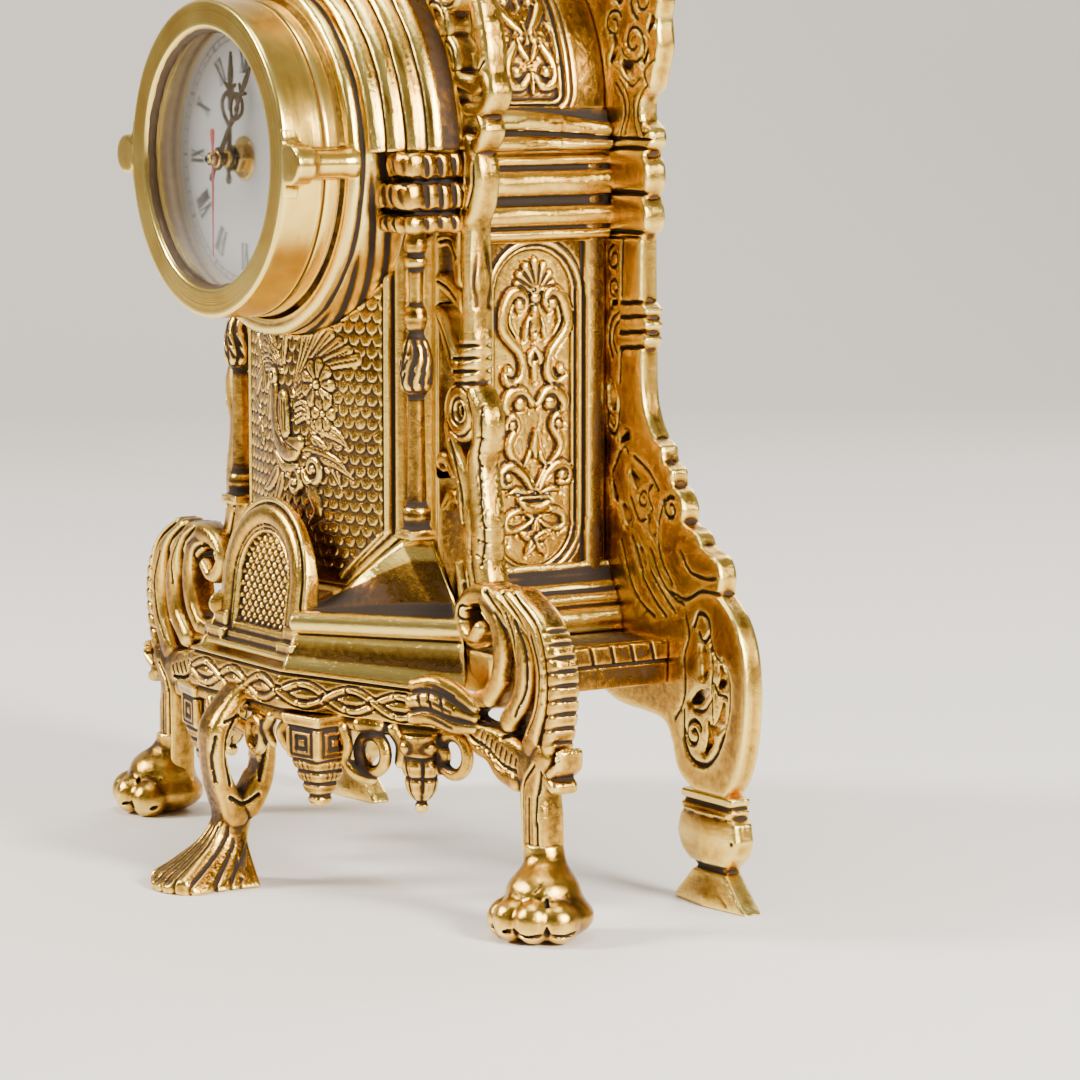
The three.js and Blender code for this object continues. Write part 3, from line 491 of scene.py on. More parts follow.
class Nodes:
    """A material's nodes, wired as they are made."""

    def __init__(self, name):
        self.material = bpy.data.materials.new(name)
        self.material.use_nodes = True
        self.tree = self.material.node_tree
        self.tree.nodes.clear()
        self.out = self.add("ShaderNodeOutputMaterial")
        self.shader = self.add("ShaderNodeBsdfPrincipled")
        self.tree.links.new(self.shader.outputs[0], self.out.inputs["Surface"])
        self.place = self.add("ShaderNodeTexCoord").outputs["Object"]

    def add(self, kind, **settings):
        node = self.tree.nodes.new(kind)
        for key, value in settings.items():
            setattr(node, key, value)
        return node

    def link(self, source, node, socket):
        if isinstance(source, (int, float, tuple)):
            node.inputs[socket].default_value = source
        else:
            self.tree.links.new(source, node.inputs[socket])

    def set(self, **values):
        """Numbers or links for the shader's sockets; _ stands for a space."""
        for key, value in values.items():
            self.link(value, self.shader, key.replace("_", " "))

    def noise(self, scale, detail=3.0, stretch=None):
        """Values from 0 to 1; scale is in cells to the metre."""
        source = self.place
        if stretch:
            mapping = self.add("ShaderNodeMapping")
            mapping.inputs["Scale"].default_value = stretch
            self.link(source, mapping, "Vector")
            source = mapping.outputs[0]
        node = self.add("ShaderNodeTexNoise")
        self.link(source, node, "Vector")
        node.inputs["Scale"].default_value = scale
        node.inputs["Detail"].default_value = detail
        node.inputs["Roughness"].default_value = 0.55
        return node.outputs["Fac"]

    def math(self, operation, a, b=0.0):
        node = self.add("ShaderNodeMath", operation=operation)
        self.link(a, node, 0)
        self.link(b, node, 1)
        return node.outputs[0]

    def range(self, value, low, high, to_low=0.0, to_high=1.0):
        """Takes low to to_low and high to to_high, with soft ends."""
        node = self.add("ShaderNodeMapRange", interpolation_type="SMOOTHSTEP")
        self.link(value, node, "Value")
        for socket, number in zip(("From Min", "From Max", "To Min", "To Max"),
                                  (low, high, to_low, to_high)):
            node.inputs[socket].default_value = number
        return node.outputs[0]

    def ramp(self, value, stops):
        node = self.add("ShaderNodeValToRGB")
        set_stops(node, stops)
        self.link(value, node, "Fac")
        return node.outputs["Color"]

    def mix(self, factor, a, b):
        node = self.add("ShaderNodeMix", data_type="RGBA")
        self.link(factor, node, "Factor")
        for socket, value in ((6, a), (7, b)):
            if isinstance(value, tuple):
                node.inputs[socket].default_value = (*value, 1.0)
            else:
                self.tree.links.new(value, node.inputs[socket])
        return node.outputs[2]

    def bump(self, height, depth, strength=1.0, over=None):
        """Depth in metres of the relief that height, from 0 to 1, stands for."""
        node = self.add("ShaderNodeBump")
        node.inputs["Strength"].default_value = strength
        node.inputs["Distance"].default_value = depth
        self.link(height, node, "Height")
        if over is not None:
            self.link(over, node, "Normal")
        return node.outputs[0]


DEEP = (0.020, 0.011, 0.005)
BROWN = (0.12, 0.055, 0.013)
AMBER = (0.50, 0.27, 0.035)
GOLD = (0.86, 0.555, 0.095)
BRIGHT_GOLD = (1.0, 0.76, 0.20)


def cast_brass(name, age_and_shade=1.0, file_marks=(1.0, 1.0, 1.0), amber=0.0):
    """Cast brass: dark patina in its hollows, deepened there by painted shade, and filed, polished high
    points brightened by painted highlights in the colour.
    """
    n = Nodes(name)
    hollow = n.add("ShaderNodeAttribute", attribute_name="hollow").outputs["Fac"]
    cloud = n.noise(38.0, 4.0)
    mottle = n.noise(420.0, 5.0)
    grain = n.noise(2600.0, 3.0)
    marks = n.noise(900.0, 3.0, stretch=file_marks)
    uneven = n.math("ADD", n.math("MULTIPLY", n.math("SUBTRACT", mottle, 0.5), 0.24),
                    n.math("MULTIPLY", n.math("SUBTRACT", cloud, 0.5), 0.26))
    # The hollows darken partly as real patina and partly as painted shade in the recesses.
    patina_and_shade = n.math("ADD", hollow, uneven)
    # How soon the hollows go dark is set per material: a little for age, and much more for the column and
    # capital, where it paints shade.
    dark = n.range(patina_and_shade, 0.04, 0.30 / age_and_shade)
    # Convex high points take the brightest gold as a painted highlight. The deepest hollows go brown and
    # near black as painted shade on top of the patina.
    tone = n.math("ADD", n.range(patina_and_shade, -0.38, 0.18), amber)
    metal = n.ramp(tone, [(0.05, BRIGHT_GOLD), (0.46, GOLD), (0.80, AMBER), (1.0, BROWN)])
    n.set(Base_Color=n.mix(dark, metal, DEEP))
    n.set(Metallic=n.range(dark, 0.25, 1.0, 1.0, 0.25))
    rough = n.math("ADD", n.range(dark, 0.0, 1.0, 0.12, 0.78), n.math("MULTIPLY", marks, 0.12))
    n.set(Roughness=rough)
    pits = n.bump(n.range(grain, 0.30, 0.62), 0.00010, 0.30)
    dents = n.bump(mottle, 0.0009, 0.16, over=pits)
    n.set(Normal=n.bump(marks, 0.00014, 0.35, over=dents))
    return n.material


def turned_brass(name, rings, marks=(1.0, 1.0, 1.0), color=GOLD, roughness=0.16):
    """Bright brass with fine tool marks; rings is how many lines a metre of radius holds."""
    n = Nodes(name)
    hollow = n.add("ShaderNodeAttribute", attribute_name="hollow").outputs["Fac"]
    middle = n.add("ShaderNodeVectorMath", operation="SUBTRACT")
    n.link(n.place, middle, 0)
    middle.inputs[1].default_value = (0.0, 0.0, DIAL_HEIGHT * MM)
    flat = n.add("ShaderNodeVectorMath", operation="MULTIPLY")
    n.link(middle.outputs[0], flat, 0)
    flat.inputs[1].default_value = (1.0, 0.0, 1.0)
    length = n.add("ShaderNodeVectorMath", operation="LENGTH")
    n.link(flat.outputs[0], length, 0)
    radius = length.outputs["Value"]
    depth = n.add("ShaderNodeSeparateXYZ")
    n.link(n.place, depth, "Vector")
    along = n.add("ShaderNodeCombineXYZ")
    n.link(n.math("MULTIPLY", radius, rings), along, "X")
    n.link(n.math("MULTIPLY", depth.outputs["Y"], rings), along, "Y")
    lines = n.add("ShaderNodeTexNoise")
    n.link(along.outputs[0], lines, "Vector")
    lines.inputs["Scale"].default_value = 1.0
    lines.inputs["Detail"].default_value = 4.0
    cloud = n.noise(45.0, 4.0)
    scuffs = n.noise(500.0, 4.0, stretch=marks)
    # Scuffs and hollows darken the brass. Scuffs and patina are real, but the darkening in the hollows is
    # partly painted shade.
    patina_and_shade = n.math("ADD", hollow, n.math("MULTIPLY", n.math("SUBTRACT", scuffs, 0.5), 0.3))
    dark = n.range(patina_and_shade, 0.08, 0.5)
    # Hollows also push the ramp from bright gold towards amber, which is painted shade.
    metal = n.ramp(n.math("ADD", cloud, n.math("MULTIPLY", hollow, 0.6)),
                   [(0.25, BRIGHT_GOLD), (0.55, color), (0.9, AMBER)])
    n.set(Base_Color=n.mix(dark, metal, BROWN), Metallic=1.0)
    n.set(Roughness=n.math("ADD", n.range(dark, 0.0, 1.0, roughness, 0.55),
                           n.math("MULTIPLY", scuffs, 0.12)))
    n.set(Normal=n.bump(lines.outputs["Fac"], 0.00005, 0.8, over=n.bump(scuffs, 0.00008, 0.5)))
    return n.material


def plain(name, color, roughness, metallic=0.0, spread=0.12, grain=900.0, depth=0.00005, stretch=None,
          **more):
    """One colour with slight unevenness and a fine grain."""
    n = Nodes(name)
    cloud = n.noise(60.0, 4.0)
    fine = n.noise(grain, 4.0, stretch=stretch)
    darker = tuple(c * (1 - spread) for c in color)
    lighter = tuple(min(1.0, c * (1 + spread)) for c in color)
    n.set(Base_Color=n.mix(n.math("MULTIPLY", n.math("ADD", cloud, fine), 0.5), darker, lighter))
    n.set(Roughness=n.math("ADD", n.math("MULTIPLY", fine, 0.14), roughness - 0.07))
    n.set(Metallic=metallic, Normal=n.bump(fine, depth, 0.6), **more)
    return n.material


BRASS = cast_brass("cast_brass")
FILED = cast_brass("filed_brass", age_and_shade=0.9, file_marks=(0.08, 0.4, 1.0), amber=0.02)
AMBER_BRASS = cast_brass("back_plate_brass", age_and_shade=0.8, amber=0.05)
# Darker, browner brass for the column and capital paints the shade they stand in, between the front panel
# and the wing.
SHADED_BRASS = cast_brass("painted_shade_brass", age_and_shade=1.6, amber=0.10)
TURNED = turned_brass("turned_brass", 2600.0, marks=(0.15, 1.0, 0.15))


# ---- Stage ----

CAMERA_PLACE = (1.3991, -0.8121, 0.3266)
CAMERA_DOWN = 7.18                     # degrees below the level
CAMERA_TURN = 57.36                    # degrees about Z
CAMERA_LENS = 147.24
LIGHT_TARGET = (0.0, 0.0, 0.2)
LIGHTS = [("key", (-0.9, -1.6, 1.3), 0.5, 80.0, (1.0, 0.95, 0.88)),
          ("side", (1.7, 0.25, 0.9), 0.5, 84.0, (1.0, 0.94, 0.86)),
          ("back", (-0.6, 1.5, 1.2), 0.7, 20.0, (1.0, 0.97, 0.94)),
          ("top", (0.1, -0.1, 1.9), 0.6, 16.0, (1.0, 0.99, 0.97))]
SKY = [(0.0, (0.30, 0.22, 0.17)), (0.47, (0.20, 0.15, 0.11)), (0.62, (0.46, 0.39, 0.32)),
       (1.0, (1.0, 0.97, 0.93))]
SKY_STRENGTH = 0.42


def make_camera():
    camera = bpy.data.cameras.new("camera")
    camera.lens = CAMERA_LENS
    camera.sensor_width = 36.0
    eye = bpy.data.objects.new("camera", camera)
    bpy.context.scene.collection.objects.link(eye)
    eye.location = CAMERA_PLACE
    eye.rotation_euler = (math.radians(90 - CAMERA_DOWN), 0.0, math.radians(CAMERA_TURN))
    bpy.context.scene.camera = eye


def make_lights():
    """Soft lamps aimed at the clock: name, place, size, power and colour."""
    for name, place, size, power, color in LIGHTS:
        lamp = bpy.data.lights.new(name, "AREA")
        lamp.size = size
        lamp.energy = power
        lamp.color = color
        holder = bpy.data.objects.new(name, lamp)
        bpy.context.scene.collection.objects.link(holder)
        holder.location = place
        direction = Vector(LIGHT_TARGET) - holder.location
        holder.rotation_euler = direction.to_track_quat("-Z", "Y").to_euler()


def make_world():
    """Studio surroundings that grow lighter with height."""
    world = bpy.data.worlds.new("studio")
    world.use_nodes = True
    tree = world.node_tree
    background = tree.nodes["Background"]
    place = tree.nodes.new("ShaderNodeTexCoord")
    split = tree.nodes.new("ShaderNodeSeparateXYZ")
    shade = tree.nodes.new("ShaderNodeValToRGB")
    turn = tree.nodes.new("ShaderNodeMath")
    tree.links.new(place.outputs["Generated"], split.inputs[0])
    turn.operation = "MULTIPLY_ADD"
    turn.inputs[1].default_value = 0.5
    turn.inputs[2].default_value = 0.5
    tree.links.new(split.outputs["Z"], turn.inputs[0])
    tree.links.new(turn.outputs[0], shade.inputs["Fac"])
    set_stops(shade, SKY)
    tree.links.new(shade.outputs["Color"], background.inputs["Color"])
    background.inputs["Strength"].default_value = SKY_STRENGTH
    bpy.context.scene.world = world


def make_floor():
    """Pale sheet that curves up behind the clock."""
    half = 4.0
    bend = 1.8
    sweep = 0.8
    mesh = bpy.data.meshes.new("floor")
    rows = [(-half, 0.0), (bend, 0.0)]
    for a in np.linspace(0.1, math.pi / 2, 12):
        rows.append((bend + sweep * math.sin(a), sweep - sweep * math.cos(a)))
    rows.append((bend + sweep, half))
    corners = [(x, y, z) for y, z in rows for x in (-half, half)]
    faces = [(2 * k, 2 * k + 1, 2 * k + 3, 2 * k + 2) for k in range(len(rows) - 1)]
    mesh.from_pydata(corners, [], faces)
    for polygon in mesh.polygons:
        polygon.use_smooth = True
    mesh.materials.append(plain("floor", (0.80, 0.77, 0.73), 0.6, spread=0.02, grain=300.0))
    floor = bpy.data.objects.new("floor", mesh)
    bpy.context.scene.collection.objects.link(floor)
    floor.rotation_euler = (0.0, 0.0, math.radians(60))


make_camera()
make_lights()
make_world()
make_floor()
SMALL_BRASS = turned_brass("small_brass", 3600.0, color=(0.72, 0.50, 0.17), roughness=0.20)
SPACER = turned_brass("spacer_brass", 2600.0, color=(0.62, 0.40, 0.12), roughness=0.26)
GLUE = plain("old_lacquer", (0.10, 0.055, 0.02), 0.55, metallic=0.1, spread=0.6, depth=0.0002)
PAPER = plain("dial_paper", (0.86, 0.855, 0.84), 0.62, spread=0.03, grain=1500.0)
INK = plain("printed_ink", (0.035, 0.032, 0.030), 0.5, spread=0.2)
DARK_HAND = plain("dark_hands", (0.11, 0.075, 0.035), 0.38, metallic=0.75, spread=0.35)
RED_HAND = plain("red_hand", (0.66, 0.085, 0.075), 0.40, spread=0.1)
STEEL = plain("zinc_steel", (0.60, 0.60, 0.585), 0.30, metallic=1.0, spread=0.1, stretch=(1.0, 0.1, 1.0))
COPPER = plain("winding_wire", (0.62, 0.26, 0.11), 0.32, metallic=0.9, spread=0.2)
BOARD = plain("circuit_board", (0.035, 0.16, 0.07), 0.35, spread=0.2)
CELL = plain("cell_sleeve", (0.045, 0.05, 0.06), 0.30, spread=0.15)
BLACK_PLASTIC = plain("black_plastic", (0.022, 0.022, 0.023), 0.48, spread=0.2, depth=0.0001)
NYLON = plain("white_nylon", (0.78, 0.77, 0.72), 0.42, spread=0.06)
CRYSTAL = plain("crystal", (0.97, 0.98, 0.98), 0.08, spread=0.01, depth=0.000005,
                Transmission_Weight=1.0, IOR=1.45)


# ---- Front panel, door, plinth and band ----

def panel_place(points):
    """Bends the drawing (s, z, w) onto the bow, with straight returns beside it."""
    s, z, w = points.T
    spread = math.asin(PANEL_HALF / PANEL_BOW)
    end = PANEL_BOW * spread
    radius = PANEL_BOW - WALL + w
    angle = np.clip(s, -end, end) / PANEL_BOW
    x = radius * np.sin(angle)
    y = PANEL_CENTRE - radius * np.cos(angle)
    over = np.clip(np.abs(s) - end, 0, None)
    x += np.sign(s) * over * 0.33
    y += over * 0.94
    return np.column_stack([x, y, z])


def scale_rows(sketch, within, width=5.6, height=4.3, drop=1.5):
    """Overlapping fish scales, each rising to a round lower lip that lies over the row below."""
    u, v = sketch.grid()
    face = np.zeros_like(u)
    radius = width * 0.56
    for k in (-1, 0, 1, 2):
        row = np.floor(v / height) + k
        across = (u - row % 2 * width / 2 + width / 2) % width - width / 2
        down = (row * height - v) * 0.72
        reach = np.hypot(across, down) / radius
        lift = drop * (0.5 + 0.5 * down / radius) * np.clip((1 - reach) * 7, 0.25, 1)
        face = np.where(reach < 1, lift, face)
    sketch.rise = np.where(within, face - 0.5, sketch.rise).astype(np.float32)


def front_panel():
    top = 240.0
    sketch = Sketch((-70.0, 106.0), (70.0, top + 2), 0.5)
    outer = [(-69, 130), (-56, 130), (-32, 111), (32, 111), (56, 130), (69, 130), (69, top), (-69, top)]
    sketch.fill(outer, k=0.3)
    u, v = sketch.grid()
    x = PANEL_BOW * np.sin(np.clip(u, -57, 57) / PANEL_BOW)
    x += np.sign(u) * np.clip(np.abs(u) - 57, 0, None) * 0.33
    from_dial = np.hypot(x, v - DIAL_HEIGHT) - COLLAR_RADIUS - 0.4
    sketch.plan = smooth_max(sketch.plan, -from_dial, 0.3).astype(np.float32)
    field = [(-50, 133), (-31.5, 117.5), (31.5, 117.5), (50, 133), (50, 260), (-50, 260)]
    scale_rows(sketch, inside(*sketch.axes, np.array(field, float)))
    for side in (-1, 1):
        rim = np.array([(side * 51.6, 245), (side * 51.6, 132.2), (side * 30, 114.6)], float)
        for a, b in zip(rim[:-1], rim[1:]):
            sketch.bar(line(a, b, width=1.5), 1.5, solid=False)
        for off in (49.6, 54.0):
            foot = (side * off, 133 - (off - 50) * 0.3)
            sketch.groove(line((side * off, 245), foot, width=0.7), 0.9)
        sketch.groove(line((side * 50, 131), (side * 30, 113.2), width=0.7), 0.8)
        sketch.groove(line((side * 62.5, 245), (side * 62.5, 133), width=2.5), 1.2)
    bird_and_flowers(sketch)
    points, faces, hollow = sketch.slab(PANEL_BASE, edge=0.5)
    piece("front_panel_cast", panel_place(points), faces, hollow, BRASS, ["front_panel"])


def leaf(sketch, base, tip, width, height=1.0, bend=0.0, veins=3):
    """A pointed leaf with a middle vein."""
    base, tip = np.array(base, float), np.array(tip, float)
    side = np.array([-(tip - base)[1], (tip - base)[0]])
    middle = (base + tip) / 2 + side * bend
    rows = smooth([(*base, width * 0.25), (*(base * 0.6 + middle * 0.4), width * 0.5),
                   (*(middle * 0.7 + tip * 0.3), width * 0.42), (*tip, 0.25)])
    sketch.band(rows, height)
    vein = rows.copy()
    vein[:, 2] = 0.35
    if veins:
        sketch.groove(vein[1:-2], height * 0.5)


def bird_and_flowers(sketch):
    """Long-tailed bird among leaves, an open flower and curling buds, in low relief."""
    def plume(points, width, height=1.0):
        taper = width * np.linspace(0.55, 1.0, len(points))
        rows = smooth(np.column_stack([points, taper]))
        sketch.band(rows, height)
        vein = rows.copy()
        vein[:, 2] = 0.3
        sketch.groove(vein, 0.5)

    for k in range(7):
        t = k / 6
        plume([(2 + 2 * t, 181 - 2 * t), (8 + 13 * t, 196 - 7 * t), (11 + 27 * t, 210 - 17 * t)], 2.3,
              1.0)
    for k in range(6):
        t = k / 5
        plume([(-8, 186), (-14 - 2 * k, 196 - k * 2), (-17 - 4 * k, 206 - 6 * k)], 2.0, 0.9)
    plume([(-6, 190), (-4, 201), (1, 211)], 2.6, 1.1)
    for start, end in (((14, 168), (34, 161)), ((14, 163), (30, 146)), ((8, 158), (36, 150)),
                       ((-12, 150), (-26, 141)), ((-8, 148), (-20, 132))):
        leaf(sketch, start, end, 5.5, 1.0, 0.12)
    for x, z, turn in ((-20, 168, 80), (-24, 178, 100), (-27, 158, 120), (-30, 188, 110),
                       (-31, 170, 150)):
        tip = (x + 11 * math.cos(math.radians(turn)), z + 11 * math.sin(math.radians(turn)))
        leaf(sketch, (x, z), tip, 4.6, 0.9, 0.1)
    body = smooth([(-14, 182, 2.6), (-13, 176, 3.4), (-12.5, 168, 4.2), (-8, 160, 4.8), (0, 158, 4.6),
                   (6, 161, 2.6)])
    sketch.band(body, 2.0, groove=0.8)
    wing_rows = smooth([(-6, 176, 3.6), (-5.5, 170, 4.2), (-4, 164, 2.6)])
    sketch.band(wing_rows, 2.3, groove=0.7)
    for k in range(4):
        x = -8.6 + 1.7 * k
        sketch.groove(smooth([(x, 176, 0.3), (x + 0.8, 165, 0.3)]), 0.6)
    for k in range(5):
        sketch.groove(smooth([(-11 + 3.6 * k, 164 - 1.5 * k, 0.28),
                              (-6 + 3.6 * k, 159.5 - 0.5 * k, 0.28)]), 0.45)
    sketch.band(arc((-14, 184), 2.3, 0, 350, 1.2), 2.2, groove=0.4)
    sketch.bar(smooth([(-15, 184, 2.8), (-14, 183, 3.0)]), 2.4, solid=False)
    sketch.groove(arc((-14.3, 184), 1.5, 0, 360, 0.32), 0.7)
    sketch.band(smooth([(-17, 182, 1.3), (-20, 178.5, 0.4)]), 1.8, groove=0.4)
    for k in range(4):
        plume([(3, 168 + 2.2 * k), (8, 170 + 2.0 * k), (11, 171 + 1.2 * k)], 1.3, 1.4)
    flower(sketch, (17, 183), 7.2, 9, 2.3)
    flower(sketch, (20, 172.5), 4.6, 6, 1.6)
    for centre, start, turns in (((14, 152), 200, 1.1), ((2, 146), 150, -1.0)):
        sketch.band(volute(centre, start, turns, 6.2, 1.6, 1.9, 1.1), 1.8, groove=0.7)
        sketch.bar(spot(centre, 1.9, 0.3), 1.9, solid=False)
    sketch.band(smooth([(14, 143, 3.2), (17, 137, 2.4), (12, 132, 0.6)]), 1.6, groove=0.7)
    sketch.band(smooth([(4, 152, 1.2), (-6, 151, 2.0), (-13, 156, 1.0)]), 1.3, groove=0.6)


def flower(sketch, centre, radius, petals, height):
    for k in range(petals):
        a = 2 * math.pi * k / petals
        out = (centre[0] + radius * math.cos(a), centre[1] + radius * math.sin(a))
        near = (centre[0] + radius * 0.4 * math.cos(a), centre[1] + radius * 0.4 * math.sin(a))
        wide = radius * math.sin(math.pi / petals) * 1.02
        sketch.band(smooth([(*near, wide * 0.45), (*out, wide)]), height * 0.72, groove=0.5)
        sketch.groove(smooth([(*near, 0.3), (*out, 0.3)]), 0.4)
    sketch.band(spot(centre, radius * 0.26, 0.2), height, groove=0.8)


def arch_door():
    """False door: broad polished arch, fine inner rings, a woven lattice, and a stepped sill."""
    sketch = Sketch((-35.0, 82.5), (35.0, 143.5), 0.5)
    outer = [(-31, 84), (31, 84), *[tuple(r[:2]) for r in arc((0, DOOR_CENTRE), 31, 0, 180)]]
    sketch.fill(outer, k=0.3)
    u, v = sketch.grid()
    r = np.where(v > DOOR_CENTRE, np.hypot(u, v - DOOR_CENTRE), np.abs(u))
    lean = DOOR_LEAN * (DOOR_CENTRE - v)

    relief = np.where(r < 18.0, -2.6, 0.0)
    beads = -0.5 + 0.9 * dome(r, 18.1, 19.5) + 0.9 * dome(r, 19.7, 21.1)
    relief = np.where((r >= 18) & (r < 21.2), beads, relief)
    relief = np.where((r >= 21.2) & (r < 28.3), -0.2 + 1.9 * dome(r, 20.9, 28.5), relief)
    relief = np.where(r >= 28.3, -1.4 + 1.5 * dome(r, 28.5, 31.6), relief)
    pitch = 4.4
    a = (u + v) * np.pi / pitch
    b = (u - v) * np.pi / pitch
    weave = 0.5 + 0.5 * np.cos(2 * a) * np.cos(2 * b)
    knot = np.clip(1.6 * np.abs(np.sin(a) * np.sin(b)), 0, 1)
    relief = np.where(r < 18.0, relief + 1.5 * knot * (0.7 + 0.3 * weave), relief)
    sketch.rise = (lean + relief).astype(np.float32)
    steps = [((-33, 84, 33, 87.4), 13.6), ((-20.5, 87, 20.5, 90.4), 10.4), ((-20.5, 90, 20.5, 93.6), 8.4)]
    for side in (-1, 1):
        steps += [((side * 20.2, 86.8, side * 32.4, 91.4), 12.6),
                  ((side * 21.0, 91.2, side * 31.0, 96.6), 10.2)]
    for (u0, v0, u1, v1), w in steps:
        low_u, high_u = min(u0, u1), max(u0, u1)
        edge = np.maximum(np.maximum(low_u - u, u - high_u), np.maximum(v0 - v, v - v1))
        block = edge < 0
        bevel = np.clip(-edge, 0, 1.1)
        crown = w - DOOR_THICK - (1.1 - bevel) ** 2 * 0.9
        sketch.rise = np.where(block, np.maximum(sketch.rise, crown), sketch.rise)
        sketch.plan = np.where(block, np.minimum(sketch.plan, edge), sketch.plan)
    points, faces, hollow = sketch.slab(DOOR_THICK, edge=0.6)
    s, z, w = points.T
    piece("arch_door_cast", np.column_stack([s, DOOR_BACK - w, z]), faces, hollow, BRASS, ["arch_door"])


def facet(s, out):
    """Point on the three-sided plinth line: s from the middle, out beyond the line."""
    cx, cy = BAND_CORNER
    dx, dy = BAND_SIDE
    corner = cx + out * (1 - dx) / dy
    a = np.abs(s)
    front = np.minimum(a, cx) / cx
    beyond = np.clip(a - cx, 0, None)
    x = front * corner + beyond * dx
    y = cy - out + beyond * dy
    return np.sign(s) * x, y


def band_rail():
    """Rail with interlaced strands, a plain ledge below it, and a leafy end at each leg."""
    half = 92.0
    sketch = Sketch((-half - 2, 60.0), (half + 2, 86.0), 0.5)
    sketch.fill(oblong(-half, 63.6, half, 83.4), k=0.3)
    u, v = sketch.grid()
    middle = 75.3
    face = 1.6 * dome(v, middle - 6.6, middle + 6.6)
    face = np.where(v > 82.0, 0.9, face)
    face = np.where(v < 68.2, -2.6 + 1.3 * dome(v, 63.7, 68.3), face)
    sketch.rise = face.astype(np.float32)
    for height, depth in ((81.7, 1.2), (68.6, 1.6)):
        sketch.groove(smooth([(-half, height, 0.55), (half, height, 0.55)], 4.0), depth)
    for side in (-1, 1):
        strands(sketch, side, 0.0, 31.5, 21.0, middle)
        strands(sketch, side, 33.5, half - 4, 17.4, middle)
    points, faces, hollow = sketch.slab(BAND_THICK, edge=0.5)
    s, z, w = points.T
    x, y = facet(s, w - BAND_THICK)
    sag = BAND_SAG * np.clip(np.abs(x) - BAND_CORNER[0], 0, None)
    piece("band_rail_cast", np.column_stack([x, y, z - sag]), faces, hollow, BRASS, ["band_rail"])


def strands(sketch, side, first, last, period, middle):
    """Two strands that cross between pointed eyes."""
    swing = 3.7
    cells = max(1, round((last - first) / (period / 2)))
    size = (last - first) / cells
    phase = 0 if first == 0 else 1
    for k in range(cells):
        start = first + k * size
        order = (1, -1) if (k % 2) else (-1, 1)
        for way in order:
            t = np.linspace(-0.08, 1.08, 14)
            s = start + t * size
            angle = (k + t + phase) * math.pi / 2
            z = middle + way * swing * np.cos(angle)
            rows = np.column_stack([side * s, z, np.full(len(t), 1.25)])
            sketch.band(rows, 2.1, groove=1.0, wide=0.7)
    for k in range(cells + 1):
        if (k + phase) % 2 == 0:
            s = first + k * size
            eye = ((-4.4, 0.4), (0, 1.9), (4.4, 0.4))
            rows = smooth([(side * (s + off), middle, width) for off, width in eye])
            sketch.bar(rows, 2.1, solid=False)


def plinth():
    """Cove, round and sloping top between the band and the front panel."""
    end = 101.0
    edge = 31.6
    turns = [-33.2, -33, -edge, 0.02 - edge, edge - 0.02, edge, 33, 33.2]
    s = np.unique(np.concatenate([np.linspace(-end, end, 300), turns]))
    cove = [(2.0, 81.6), (2.2, 83.6), (3.0, 85.6), (4.4, 87.8), (5.6, 90.2), (6.6, 92.6), (7.4, 94.4)]
    a = np.radians(np.linspace(-80, 92, 14))
    bead = [(9.4 - 3.7 * math.cos(q), 98.9 + 4.2 * math.sin(q)) for q in a]
    profile = np.array(cove + bead + [(10.4, 103.4)], float)
    rings = []
    for q in s:
        reach = abs(q)
        inset = profile[:, 0].copy()
        if reach < edge:
            inset = np.maximum(inset, 17.6 + 0.12 * (profile[:, 1] - 110))
        x, y = facet(np.full(len(profile), q), -inset)
        sag = BAND_SAG * max(0.0, abs(x[0]) - BAND_CORNER[0])
        height = profile[:, 1] - sag * np.clip(1 - (profile[:, 1] - 83) / 13, 0, 1)
        outer = np.column_stack([x, y, height])
        share = min(reach / end, 1.0)
        foot_x = min(reach * 0.97, 32 + (reach - 33) * 0.45 if reach > 33 else 32)
        foot_z = 110.6 + max(0.0, min(foot_x, 56) - 32) * 19 / 24
        bow = PANEL_CENTRE - math.sqrt(PANEL_BOW ** 2 - min(foot_x, 56) ** 2)
        out_y = bow - 0.2 + max(0.0, foot_x - 56) * 1.2
        top = np.array([math.copysign(foot_x, q), out_y, foot_z])
        t = np.linspace(0.08, 1, 12)[:, None]
        dip = np.sin(np.pi * t) * [0, 0, -1.6 * (reach > edge)]
        slope = outer[-1] + (top - outer[-1]) * t + dip
        back = top + [0, 3.0, -0.5]
        inner_x, inner_y = facet(np.array([q]), np.array([-24.0]))
        low = np.array([inner_x[0], inner_y[0], 83.0 - sag])
        rings.append(np.vstack([outer, slope, back, low]))
    points, faces, hollow = lattice(np.array(rings))
    keep = points[:, 1] > -1.0
    points[keep, 1] = np.minimum(points[keep, 1], 2.4)
    piece("plinth_cast", points, faces, hollow, BRASS, ["plinth"])


# ---- Rear plate and rear feet ----

def curl(sketch, centre, start, turns, outer, inner, thick, thin, depth):
    """An engraved curl."""
    sketch.groove(volute(centre, start, turns, outer, inner, thick, thin), depth)


def opening(sketch, points, width, rim=1.0):
    """A long hole with a rounded edge and an engraved line round it."""
    rows = smooth([(*p, w) for p, w in zip(points, width)])
    outer = rows.copy()
    outer[:, 2] += rim + 0.35
    win, axes = sketch.near(outer)
    gap, _, _ = trace(axes, outer)
    sketch.rise[win] -= 0.75 * notch(gap, 0, 0.45)
    sketch.cut(rows)


